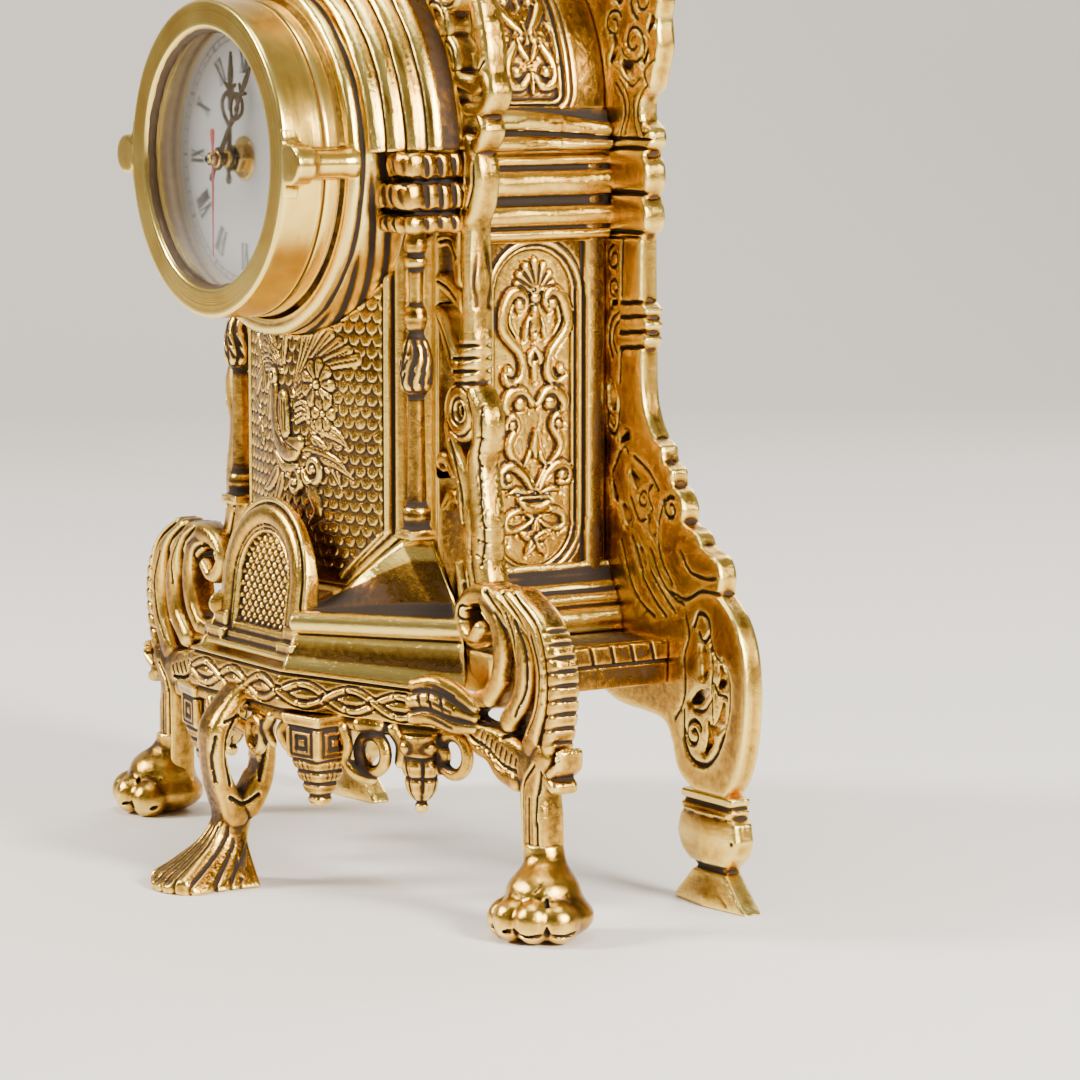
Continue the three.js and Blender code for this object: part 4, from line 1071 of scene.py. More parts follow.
def rear_plate():
    """Pierced back plate: lobes and scrolls round a stile, a leafy foot and an oval scroll leg."""
    sketch = Sketch((-3.0, 36.0), (156.0, 400.0), 0.72)
    outline = [
        *line((-6, 65.5), (20, 63), (45, 73), (70, 66), (98, 63.5), (105.5, 55)),
        *line((105.5, 54), (108, 47.5), (112.5, 43.5), (119, 40.2)),
        *line((138, 40.2), (144, 47), (148.5, 59), (150.6, 76), (149, 92), (143.5, 104), (134.5, 112)),
        *line((133.5, 112.6), (134.5, 119), (131.5, 125), (126, 127)),
        *line((122, 128.5), (119, 133), (113.5, 134.5)),
        *line((110.5, 136), (111.2, 141), (108, 146.5), (104.5, 148)),
        *line((103.8, 149.5), (103.5, 154), (99, 156)),
        *line((98, 157.5), (97, 162), (92.5, 164)),
        *line((91.5, 166), (87.5, 172), (85, 180), (84.2, 196)),
        *line((85.6, 197), (87.2, 199.5), (85.8, 201.6)),
        *line((85.8, 202.2), (87.6, 204.8), (85.8, 207.2)),
        *line((85.8, 207.8), (87.2, 210.2), (84.8, 212.4)),
        (83.6, 213), (83.4, 236), *line((84, 237), (88, 240), (88.4, 246), (86, 250.5)),
        *line((86.6, 252), (89, 256), (88.6, 262), (86, 265.5)),
        *line((86.2, 267), (89.4, 270), (88.6, 275), (84.4, 277.5)),
        *line((83.4, 280), (84, 286), (89.5, 290), (91.5, 296)),
        *line((92.5, 298), (94.5, 305), (93.5, 314), (94.6, 322), (90, 330)),
        *line((88, 331), (84, 336), (80, 347), (70, 351)), *line((66, 352), (59, 365), (45, 369)),
        *line((42, 370), (34, 383), (20, 387)), *line((18, 388), (10, 393), (-6, 396))]
    sketch.fill([p[:2] for p in outline])
    access = [(-7, 112), (46.5, 112), *[r[:2] for r in arc((0, 268), 46.5, 0, 105)]]
    sketch.fill(access, hole=True)
    # upper scrolls
    curl(sketch, (79, 306), 200, 1.35, 8.2, 2.2, 0.75, 0.55, 1.5)
    curl(sketch, (84, 321), 250, -1.3, 7.4, 2.0, 0.75, 0.5, 1.5)
    curl(sketch, (66, 333), 300, 1.3, 7.6, 2.0, 0.75, 0.5, 1.5)
    curl(sketch, (66, 312), 30, 1.2, 5.6, 1.6, 0.7, 0.5, 1.5)
    for points, width in ((((72, 298), (76, 295.5)), (1.8, 3.0)), (((69, 322), (72.5, 327)), (2.8, 1.6)),
                          (((88, 310), (90.5, 314)), (1.0, 1.8)), (((75.5, 338), (79, 333)), (1.2, 2.2)),
                          (((64, 299), (67, 304), (65.5, 308)), (1.2, 1.8, 1.0)),
                          (((52, 345), (56, 351), (60, 345)), (1.5, 2.8, 1.5)),
                          (((85, 299.5), (87.5, 303)), (1.5, 1.0)), (((38, 356), (44, 360)), (1.4, 2.4)),
                          (((14, 372), (22, 378)), (1.5, 2.6)), (((0, 359), (0, 369)), (5.5, 3.5)),
                          (((20, 355), (27, 362)), (1.5, 2.4))):
        opening(sketch, points, width)
    for rows in (line((62, 340), (55, 336), (50, 342), (54, 352)),
                 line((46, 366), (38, 360), (32, 364), (33, 372)),
                 line((30, 350), (22, 346), (12, 352), (8, 362)), line((92, 300), (86, 296), (88, 290)),
                 line((74, 343), (80, 341), (84, 333))):
        sketch.groove(rows, 1.3)
    # vase and bands
    for way in (-1, 1):
        sketch.groove(line((77.5 + way * 10, 291), (77.5 + way * 5, 286), (77.5 + way * 4, 280),
                           (77.5 + way * 7.5, 272), width=0.65), 1.3)
        sketch.groove(line((77.5 + way * 7.5, 292.5), (77.5 + way * 2, 286.5), (77.5 + way * 1.6, 280),
                           (77.5 + way * 3.8, 272.5), width=0.45), 1.0)
    sketch.groove(line((72, 293), (77.5, 290), (83, 293), width=0.6), 1.2)
    curl(sketch, (86, 275.5), 120, 1.0, 3.0, 1.2, 0.6, 0.5, 1.2)
    for z, width in ((271.2, 0.75), (267.8, 0.75), (251.8, 1.0), (237.6, 0.9), (235.6, 0.5)):
        sketch.groove(line((58, z - 0.6), (76, z + 0.3), (92, z), width=width), 1.6)
    for low, high in ((252.5, 267), (238.4, 250.8)):
        u, v = sketch.grid()
        sketch.rise += np.where(u > 64, 1.3 * dome(v, low, high), 0).astype(np.float32)
    sketch.cut(smooth([(64.4, 243, 1.2), (64.6, 248.5, 0.9)]))
    for z in (196.4, 201.9, 207.5, 212.6):
        sketch.groove(line((70.5, z - 0.8), (88, z + 0.8), width=0.85), 1.7)
    # scrollwork inside the stile
    sketch.groove(line((70.6, 183), (71.6, 196), width=0.6), 1.3)
    sketch.groove(line((71.6, 213), (72.4, 235), width=0.6), 1.3)
    curl(sketch, (66.5, 228), 90, 1.25, 4.6, 1.4, 0.6, 0.45, 1.3)
    curl(sketch, (67, 217.5), 270, -1.1, 3.6, 1.3, 0.6, 0.45, 1.3)
    for rows in (line((70, 209), (65, 205), (63.5, 198), (66, 192)),
                 line((70, 205.5), (67, 202.5), (66.2, 198), (68.5, 193.5))):
        sketch.groove(rows, 1.3)
    opening(sketch, ((65, 180.5), (66, 175)), (1.9, 2.4), 1.3)
    opening(sketch, ((65, 211.5), (67.5, 212.2)), (1.0, 1.2), 0.7)
    opening(sketch, ((71, 162), (75, 164)), (1.0, 1.6), 0.7)
    sketch.groove(line((62.8, 172), (63.5, 166), (67, 164), (69.6, 168), (70.2, 178)), 1.3)
    sketch.groove(line((64.6, 168.4), (66.6, 166.8), (68, 169), width=0.5), 1.1)
    # leaves over the foot
    for points, width in ((((78, 151), (81.5, 147.5)), (1.2, 2.2)),
                          (((72.5, 139), (76, 134)), (1.4, 2.4)),
                          (((88.5, 135.5), (91.5, 130.5)), (1.5, 2.4)),
                          (((66, 146), (68, 141)), (1.0, 1.6)), (((83, 124.5), (86, 119)), (1.4, 2.0))):
        opening(sketch, points, width, 0.8)
    curl(sketch, (86, 141.5), 60, 1.1, 3.3, 1.2, 0.6, 0.45, 1.3)
    curl(sketch, (103.5, 140), 70, 1.15, 4.6, 1.5, 0.85, 0.6, 1.7)
    for rows in (line((99, 143), (95.5, 132), (97.5, 122), (105, 113)),
                 line((80, 157), (90, 152), (96, 146)),
                 line((68, 154), (73, 160), (76, 158)), line((66, 150), (70, 156)),
                 line((91, 124.5), (97, 115), (105, 108.5), (113, 106.5)),
                 line((84, 128), (91, 117), (99, 109), (107, 103)),
                 line((79, 128), (86, 114), (94, 106), (101, 101)),
                 line((72, 126), (79, 110), (87, 103), (94, 100)),
                 line((104, 110), (113, 108.6), (123, 112.6), (134, 112.8), width=0.8),
                 line((110, 126), (116, 119), (125, 117.5), (132, 118)),
                 line((78, 142), (84, 134), (92, 139)),
                 line((92, 148), (89, 144), (92, 139))):
        sketch.groove(rows, 1.4)
    # oval scroll leg
    rim = line((113.5, 103), (115.5, 96), (112.6, 88), (113.4, 78), (112, 71.5), (107.5, 65))
    sketch.groove(rim, 1.2)
    sketch.groove(line((118.4, 99.5), (121.6, 104.6), (126.6, 103.4), (128.4, 98.5), (124.5, 94.6),
                       (121.6, 97.6), width=1.05), 1.8)
    for points, width in ((((124, 91.5), (125.4, 86.5), (124.2, 82.4)), (1.7, 2.1, 1.2)),
                          (((134.5, 86.6), (136.2, 82.6), (133.4, 79.8)), (1.2, 2.3, 1.0)),
                          (((126.4, 77), (121.5, 74.4), (117, 72.2)), (1.0, 2.3, 0.9)),
                          (((136.4, 73), (135, 67.5), (131, 64.6)), (1.4, 2.3, 1.0)),
                          (((127.4, 65.4), (128.6, 60.6), (125.6, 55.2)), (1.2, 2.2, 0.9))):
        opening(sketch, points, width, 0.5)
    for rows in (line((128.5, 97), (131.5, 91), (138.6, 86), (141, 79), width=0.65),
                 line((129, 93.5), (130, 86), (129.4, 78), (130.4, 71), (129, 64), width=0.55),
                 line((136.5, 90), (140.4, 83), (140.8, 74), (138.6, 66), (134, 58.5), width=0.6),
                 line((129.6, 82), (133, 77.5), (139.5, 76.5), width=0.6),
                 line((130, 75), (125, 70), (119, 69.5), width=0.6),
                 line((112.4, 68.5), (113, 58), (118, 51.5), (126, 50.6), (132.5, 55), (137.6, 63),
                      width=1.0)):
        sketch.groove(rows, 1.5)
    curl(sketch, (118.6, 60.6), 30, 1.2, 5.6, 1.6, 1.0, 0.7, 1.6)
    points, faces, hollow = sketch.slab(REAR_THICK, edge=1.0)
    x, z, w = points.T
    place = np.column_stack([x, REAR_BACK - tongue(x, w, REAR_THICK / 2), z])
    halves("rear_plate_cast", place, faces, hollow, AMBER_BRASS, "rear_plate", level=0.0)


def rear_foot():
    """Ring, faceted bulb and flared foot below a rear leg."""
    block = Block((100.0, 69.0, -1.0), (156.0, 86.0, 43.0), 0.6)
    levels = [(40.9, 112, 143.4), (38.4, 111.6, 143.6), (37.2, 113.6, 141.8), (35.8, 111.4, 143.6),
              (33.6, 113, 142), (31.5, 110.6, 144.6), (25, 109.0, 146.0), (19.5, 111.5, 143.6),
              (15.6, 117, 139), (13.6, 119.4, 137.0), (9, 114.6, 141.6), (3.5, 108.6, 147.2),
              (0.0, 106.4, 151.0)]
    z, left, right = np.array(levels[::-1]).T
    gx, gy, gz = block.grid()
    low = np.interp(gz, z, left)
    high = np.interp(gz, z, right)
    middle = (low + high) / 2
    half = (high - low) / 2
    across = np.abs(gx - middle) - half
    ball = np.sqrt(np.clip(1 - ((gz - 24.5) / 10.0) ** 2, 0, 1))
    ridge = np.clip(1 - np.abs(gx - middle) / half, 0, 1)
    swell = 0.3 + 3.4 * ball * np.sqrt(ridge) + 2.6 * ridge * np.clip((12 - gz) / 9, 0, 1)
    swell = swell + 0.9 * (np.abs(gz - 39.2) < 1.5) + 0.9 * (np.abs(gz - 34.6) < 1.3)
    swell = swell - 1.2 * (np.abs(gz - 14) < 1.6)
    deep = np.maximum(gy - 82.9, 75.4 - swell - gy)
    block.field[:] = smooth_max(smooth_max(across * 0.9, deep, 1.2), np.maximum(-gz, gz - 40.9), 0.6)
    for a, b in (((113, 74.6, 25), (144, 74.6, 25)), ((128, 73.0, 12), (141, 74.0, 2)),
                 ((126, 73.0, 12), (113, 74.0, 3))):
        block.tube(smooth([(*a, 0.7), (*b, 0.5)]), 0.3, cut=True)
    pair("rear_foot", *block.mesh(), FILED, level=0.02)


# ---- Sides ----

def strap(sketch, points, width, height=1.5, groove=0.55):
    """A strand in low relief: points with a taper given by the widths at its ends and middle."""
    t = np.linspace(0, 1, len(points))
    wide = np.interp(t, np.linspace(0, 1, len(width)), width)
    rows = smooth([(*p, w) for p, w in zip(points, wide)])
    sketch.band(rows, height, groove=groove, wide=0.6)


def knob(sketch, centre, radius, height):
    """A round bead."""
    sketch.band(spot(centre, radius, 0.15), height, groove=0.6)


def hatch(sketch, low, high, seed, count=260):
    """Short upright tool strokes over the ground of the relief."""
    random = np.random.default_rng(seed)
    for _ in range(count):
        y = random.uniform(low[0], high[0])
        z = random.uniform(low[1], high[1])
        size = random.uniform(1.0, 2.4)
        lean = random.uniform(-0.4, 0.4)
        sketch.groove(smooth([(y, z, 0.24), (y + lean, z + size, 0.24)]), 0.4)


def side_wall():
    """Wall with an arched, bordered panel of strapwork and leaves, between a pilaster and the wing."""
    sketch = Sketch((2.8, 92.6), (75.2, 265.4), 0.5)
    sketch.fill(oblong(CASE_FRONT, 93, CASE_BACK, 265), k=0.3)
    y, z = sketch.grid()
    middle = 44.0
    top, low = 215.5, 133.5
    centre_z = np.clip(z, low, top)
    r = np.hypot(y - middle, z - centre_z)

    ground = -2.2
    rise = np.where(r < 16.6, ground, 0.0)
    rise = np.where((r >= 16.6) & (r < 17.9), ground + 0.5, rise)
    rise += 0.9 * dome(r, 16.4, 17.8) + 0.8 * dome(r, 18.2, 20.6)
    rise -= 0.9 * dome(r, 17.7, 18.5) + 0.8 * dome(r, 20.5, 21.3)
    rise += np.where(r > 21.3, 2.4 * dome(y, 64.4, 73.6), 0)
    rise -= notch(y, 64.4, 0.7) * (r > 20)
    sketch.rise = rise.astype(np.float32)
    hatch(sketch, (30, 124), (58, 226), 11)
    relief = Sketch((2.8, 92.6), (75.2, 265.4), 0.5)
    strapwork(relief)
    keep = (np.abs(relief.rise) > 0.02) & (r < 16.8)
    sketch.rise = np.where(keep, ground + relief.rise, sketch.rise).astype(np.float32)
    points, faces, hollow = sketch.slab(WALL, edge=0.4)
    y, z, w = points.T
    pair("side_wall", np.column_stack([WALL_X - WALL + w, y, z]), faces, hollow, BRASS)


def strapwork(s):
    """Shell, lyre, bud, vase, bow and star, from the top down."""
    for k in range(7):
        a = math.radians(90 + (k - 3) * 23)
        reach = 11.0 - 0.9 * abs(k - 3)
        tip = (45 + reach * 0.95 * math.cos(a), 216.5 + reach * math.sin(a))
        strap(s, [(45 + 2 * math.cos(a), 216.5 + 2 * math.sin(a)), tip], (0.8, 1.7), 1.7)
    knob(s, (45, 214.5), 2.2, 2.2)
    for way in (-1, 1):
        def at(dy, z):
            return (45 + way * dy, z)
        strap(s, [at(6.4, 210.5), at(4.6, 213.5), at(6.6, 216.6), at(10.6, 215.6), at(13.6, 209.5),
                  at(13.6, 203.5), at(10.0, 198.6), at(6.8, 195.2), at(5.2, 190.4), at(6.2, 185.6),
                  at(9.6, 183.4), at(12.6, 185.6), at(11.4, 189.2)], (1.5, 2.3, 2.1, 1.6, 2.0, 1.4), 2.3)
        knob(s, at(7.0, 212.2), 2.2, 2.6)
        knob(s, at(11.0, 188.2), 2.0, 2.4)
        strap(s, [at(9.4, 212), at(10.6, 206), at(8.0, 201)], (0.6, 0.8, 0.6), 1.2)
        strap(s, [at(1.2, 209), at(3.4, 204), at(4.4, 199.6)], (0.8, 1.3, 0.6), 1.6)
        strap(s, [at(1.0, 176), at(4.6, 180.4), at(9.8, 180.2), at(12.6, 176.6), at(11.8, 173.6)],
              (1.2, 2.6, 1.4), 2.2)
        knob(s, at(6.4, 176.4), 2.6, 2.3)
        strap(s, [at(12.2, 168.0), at(9.6, 171.8), at(8.0, 168.0), at(11.2, 161.4), at(8.4, 155.4),
                  at(3.6, 150.4), at(0.8, 145.4)], (1.2, 1.9, 1.6, 1.3), 2.2)
        knob(s, at(9.8, 168.6), 2.0, 2.3)
        strap(s, [at(0.6, 161.6), at(2.8, 156.8), at(5.4, 152.6)], (0.7, 1.1, 0.5), 1.5)
        strap(s, [at(1.6, 145.0), at(5.2, 150.8), at(10.0, 153.8), at(13.8, 151.6), at(13.6, 147.8),
                  at(10.6, 147.2)],
              (1.0, 1.9, 2.2, 1.2), 2.2)
        knob(s, at(11.6, 149.8), 2.1, 2.4)
        strap(s, [at(2.6, 143.6), at(7.6, 145.0), at(11.0, 144.0)], (1.0, 1.2, 0.5), 1.4)
        strap(s, [at(0.6, 134.6), at(5.6, 137.6), at(11.6, 135.6), at(12.0, 131.2), at(7.0, 130.6),
                  at(1.0, 134.0)],
              (1.0, 1.5, 0.8), 1.9)
        strap(s, [at(0.0, 196.5), at(2.4, 192.6), at(0.6, 189.4)], (0.8, 1.4, 0.8), 1.7)
    strap(s, [(45, 210.5), (45, 204), (45, 199.5)], (1.5, 2.4, 0.9), 1.9)
    knob(s, (45, 200.6), 1.6, 2.0)
    strap(s, [(45, 190.5), (45, 185)], (1.6, 1.2), 1.6)
    strap(s, [(45, 166.5), (45, 161), (45, 156.5)], (0.5, 1.9, 0.5), 1.9)
    strap(s, [(38.6, 141.6), (41, 138.8), (45, 137.8), (49, 138.8), (51.4, 141.6)], (1.2, 2.4, 1.2), 2.2)
    strap(s, [(39, 142.2), (51, 142.2)], (0.8, 0.8), 1.8)
    for k in range(5):
        a = math.radians(90 + 72 * k)
        tip = (45.5 + 7.2 * math.cos(a), 127.2 + 7.6 * math.sin(a))
        strap(s, [(45.5, 127.2), ((45.5 + tip[0]) / 2, (127.2 + tip[1]) / 2), tip], (1.6, 2.0, 0.3), 1.9,
              0.4)
        s.groove(smooth([(45.5, 127.2, 0.3), (*tip, 0.3)]), 0.5)


def along_wall(name, profile, first, last, wobble=0.25):
    """A moulding of one section (x, z) along the side wall, slightly wavy, as hand filing leaves it."""
    out, z = dense(np.array(profile, float), 0.7).T
    y = np.linspace(first, last, 90)[:, None]
    wavy = out + wobble * np.sin(y * 0.23 + z * 0.4) * 0.5
    x = np.where(out <= WALL_X + 0.35, out, wavy)
    grid = np.stack([x, np.broadcast_to(y, x.shape), np.broadcast_to(z, x.shape)], -1)
    pair(name, *lattice(grid), BRASS)


def dense(rows, gap, soft=2):
    """Points along a closed section, with its corners eased."""
    ring = np.vstack([rows, rows[:1]])
    out = []
    for a, b in zip(ring[:-1], ring[1:]):
        n = max(1, math.ceil(np.linalg.norm(b - a) / gap))
        out.append(a + (b - a) * np.arange(n)[:, None] / n)
    p = np.vstack(out)
    for _ in range(soft):
        p = 0.5 * p + 0.25 * (np.roll(p, 1, 0) + np.roll(p, -1, 0))
    return p


def bulge(low, high, x, out, n=9):
    """Points of a rounded moulding standing out from x between two heights."""
    a = np.linspace(-math.pi / 2, math.pi / 2, n)
    return [(x + out * math.cos(q), (low + high) / 2 + (high - low) / 2 * math.sin(q)) for q in a]


def side_mouldings():
    """Cornice and plinth of the side walls, and the rolled moulding above the cornice."""
    x = WALL_X + 0.3
    first, last = 10.8, CASE_BACK
    along_wall("side_cornice", [(x, 234), (63.6, 234.4), *bulge(235.2, 239.2, 63.8, 1.6), (63.4, 239.8),
                                *bulge(240.2, 248.0, 64.0, 3.4), (63.8, 248.6), (63.8, 250.4),
                                *bulge(250.8, 260.4, 64.2, 3.6), (63.6, 261.2),
                                *bulge(261.8, 265.4, 63.6, 1.8), (x, 266)],
               first, last)
    along_wall("side_plinth", [(x, 93.0), (73.4, 93.0), (73.6, 98.6), (72.6, 100.8), (70.4, 101.6),
                               *bulge(102.2, 107.2, 68.2, 2.6), (68.0, 107.8), (67.6, 109.6),
                               (65.6, 111.6), (64.4, 114.6), (64.0, 117.6), (x, 118)],
               first, last)
    swag()


def swag():
    """Rolled, hand-shaped moulding above the cornice."""
    rings = []
    for t in np.linspace(0, 1, 120):
        lift = 2.4 * math.sin(t * math.pi * 1.15 + 0.4) - 1.2 * t
        lower = bulge(267.4, 272.0 + lift * 0.4, 64.8, 2.4 + 0.5 * math.sin(t * 9))
        upper = bulge(273.2 + lift * 0.5, 280.4 + lift, 63.4, 3.4 + 0.9 * math.sin(t * 5 + 1))
        section = [(62.15, 266.4), (65.2, 266.8), *lower, (64.4, 272.6 + lift * 0.5), *upper,
                   (63.2, 281.2 + lift), (62.15, 283.4)]
        ring = dense(np.array(section, float), 0.9)
        places = np.linspace(0, len(ring), 70, endpoint=False).astype(int)
        rings.append([(x, 11.2 + 63.2 * t, z) for x, z in ring[places]])
    halves("swag", *lattice(np.array(rings)), BRASS)


def vault():
    """Barrel top, with a raised panel of leafwork on each slope."""
    rise = VAULT_SPRING - 265.3
    quarter = VAULT_RADIUS * math.pi / 2
    length = quarter + rise
    sketch = Sketch((-3.0, 2.6), (length + 0.5, 75.1), 0.6)
    sketch.fill(oblong(-6, CASE_FRONT, length, CASE_BACK), k=0.2)
    u, v = sketch.grid()
    du = np.abs(u - 66.0) - 34.0
    dv = np.abs(v - 44.0) - 16.0
    corner = np.hypot(np.clip(du + 8, 0, None), np.clip(dv + 8, 0, None)) - 8
    corner += np.minimum(np.maximum(du + 8, dv + 8), 0)
    height = 1.6 * dome(corner, -2.9, 0.1) + 0.9 * dome(corner, -5.3, -3.5)
    height -= 0.9 * (notch(corner, -3.1, 0.5) + notch(corner, 0.6, 0.6) + (corner < -5.2))
    sketch.rise = height.astype(np.float32)
    hatch(sketch, (38, 32), (92, 56), 5, 200)
    relief = Sketch((-3.0, 2.6), (length + 0.5, 75.1), 0.6)
    for way in (-1, 1):
        def at(a, b):
            return (a, 44 + way * b)
        strap(relief, [at(86, 1), at(90, 5), at(88, 9.4), at(82, 9.6), at(76, 6.4), at(72, 2.4)],
              (1.3, 2.2, 1.4), 2.0)
        strap(relief, [at(70, 2.0), at(64, 6.4), at(58, 9.6), at(53, 7.0), at(55, 3.6)], (1.3, 2.3, 1.5),
              2.1)
        strap(relief, [at(50, 1.6), at(46, 6.0), at(42, 8.8), at(40, 5.4)], (1.2, 2.0, 1.2), 2.0)
        knob(relief, at(56.6, 5.2), 2.1, 2.3)
        knob(relief, at(84.4, 6.2), 2.2, 2.3)
        strap(relief, [at(80, 0.8), at(76, 3.0), at(70, 4.4)], (0.7, 1.5, 0.5), 1.6)
        strap(relief, [at(66, 9.4), at(70, 11.6), at(75, 10.6)], (0.6, 1.3, 0.5), 1.5)
        strap(relief, [at(48, 10.2), at(52, 11.8), at(57, 11.8)], (0.6, 1.3, 0.5), 1.5)
    for a, b in ((92, 84), (74, 66), (60, 52), (47, 39)):
        strap(relief, [(a, 44), (b, 44)], (0.8, 2.0, 0.4), 2.0)
    keep = (np.abs(relief.rise) > 0.02) & (corner < -5.2)
    sketch.rise = np.where(keep, -0.9 + relief.rise, sketch.rise).astype(np.float32)
    points, faces, hollow = sketch.slab(WALL, edge=0.3)
    s, y, w = points.T
    angle = np.minimum(s, quarter) / VAULT_RADIUS
    below = np.clip(s - quarter, 0, None)
    r = VAULT_RADIUS - WALL + tongue(s, w, WALL / 2)
    place = np.column_stack([r * np.sin(angle) + below / rise, y,
                             VAULT_SPRING + r * np.cos(angle) - below])
    halves("vault_cast", place, faces, hollow, BRASS, "vault")


def base_plate():
    """Tray under the case: a row of dentils over a plain fillet, and a drooping apron at the back."""
    half = 102.5
    sketch = Sketch((2.6, 76.6), (75.0, 93.2), 0.45)
    sketch.fill(oblong(CASE_FRONT, 77, CASE_BACK, 92.7), k=0.4)
    y, z = sketch.grid()
    pitch = 8.6
    along = (y + (z - 85.9) * 0.25) % pitch
    gap = notch(np.minimum(along, pitch - along), 0, 0.75)
    rise = np.where(z > 85.9, 0.5 - 1.6 * gap, 0.1)
    rise -= 1.2 * notch(z, 85.6, 0.6)
    rise -= 0.18 * np.clip(79.5 - z, 0, None) ** 1.2
    sketch.rise = rise.astype(np.float32)
    points, faces, hollow = sketch.slab(3.6, edge=0.6)
    y, z, w = points.T
    place = np.column_stack([half - 3.6 + w, y, z])
    halves("base_rim", place, faces, hollow, BRASS, "base_plate")
    tray = Block((-99.6, 2.6, 76.6), (99.6, 75.2, 93.4), 1.3)
    tray.brick((-98.6, 3.2, 89.2), (98.6, 74.6, 92.6))
    tray.brick((-98.6, 3.2, 77.4), (98.6, 6.4, 92.0))
    tray.brick((-98.6, 71.4, 77.4), (98.6, 74.6, 92.0))
    piece("base_tray", *tray.mesh(), AMBER_BRASS)


# ---- Wings, columns, capitals ----

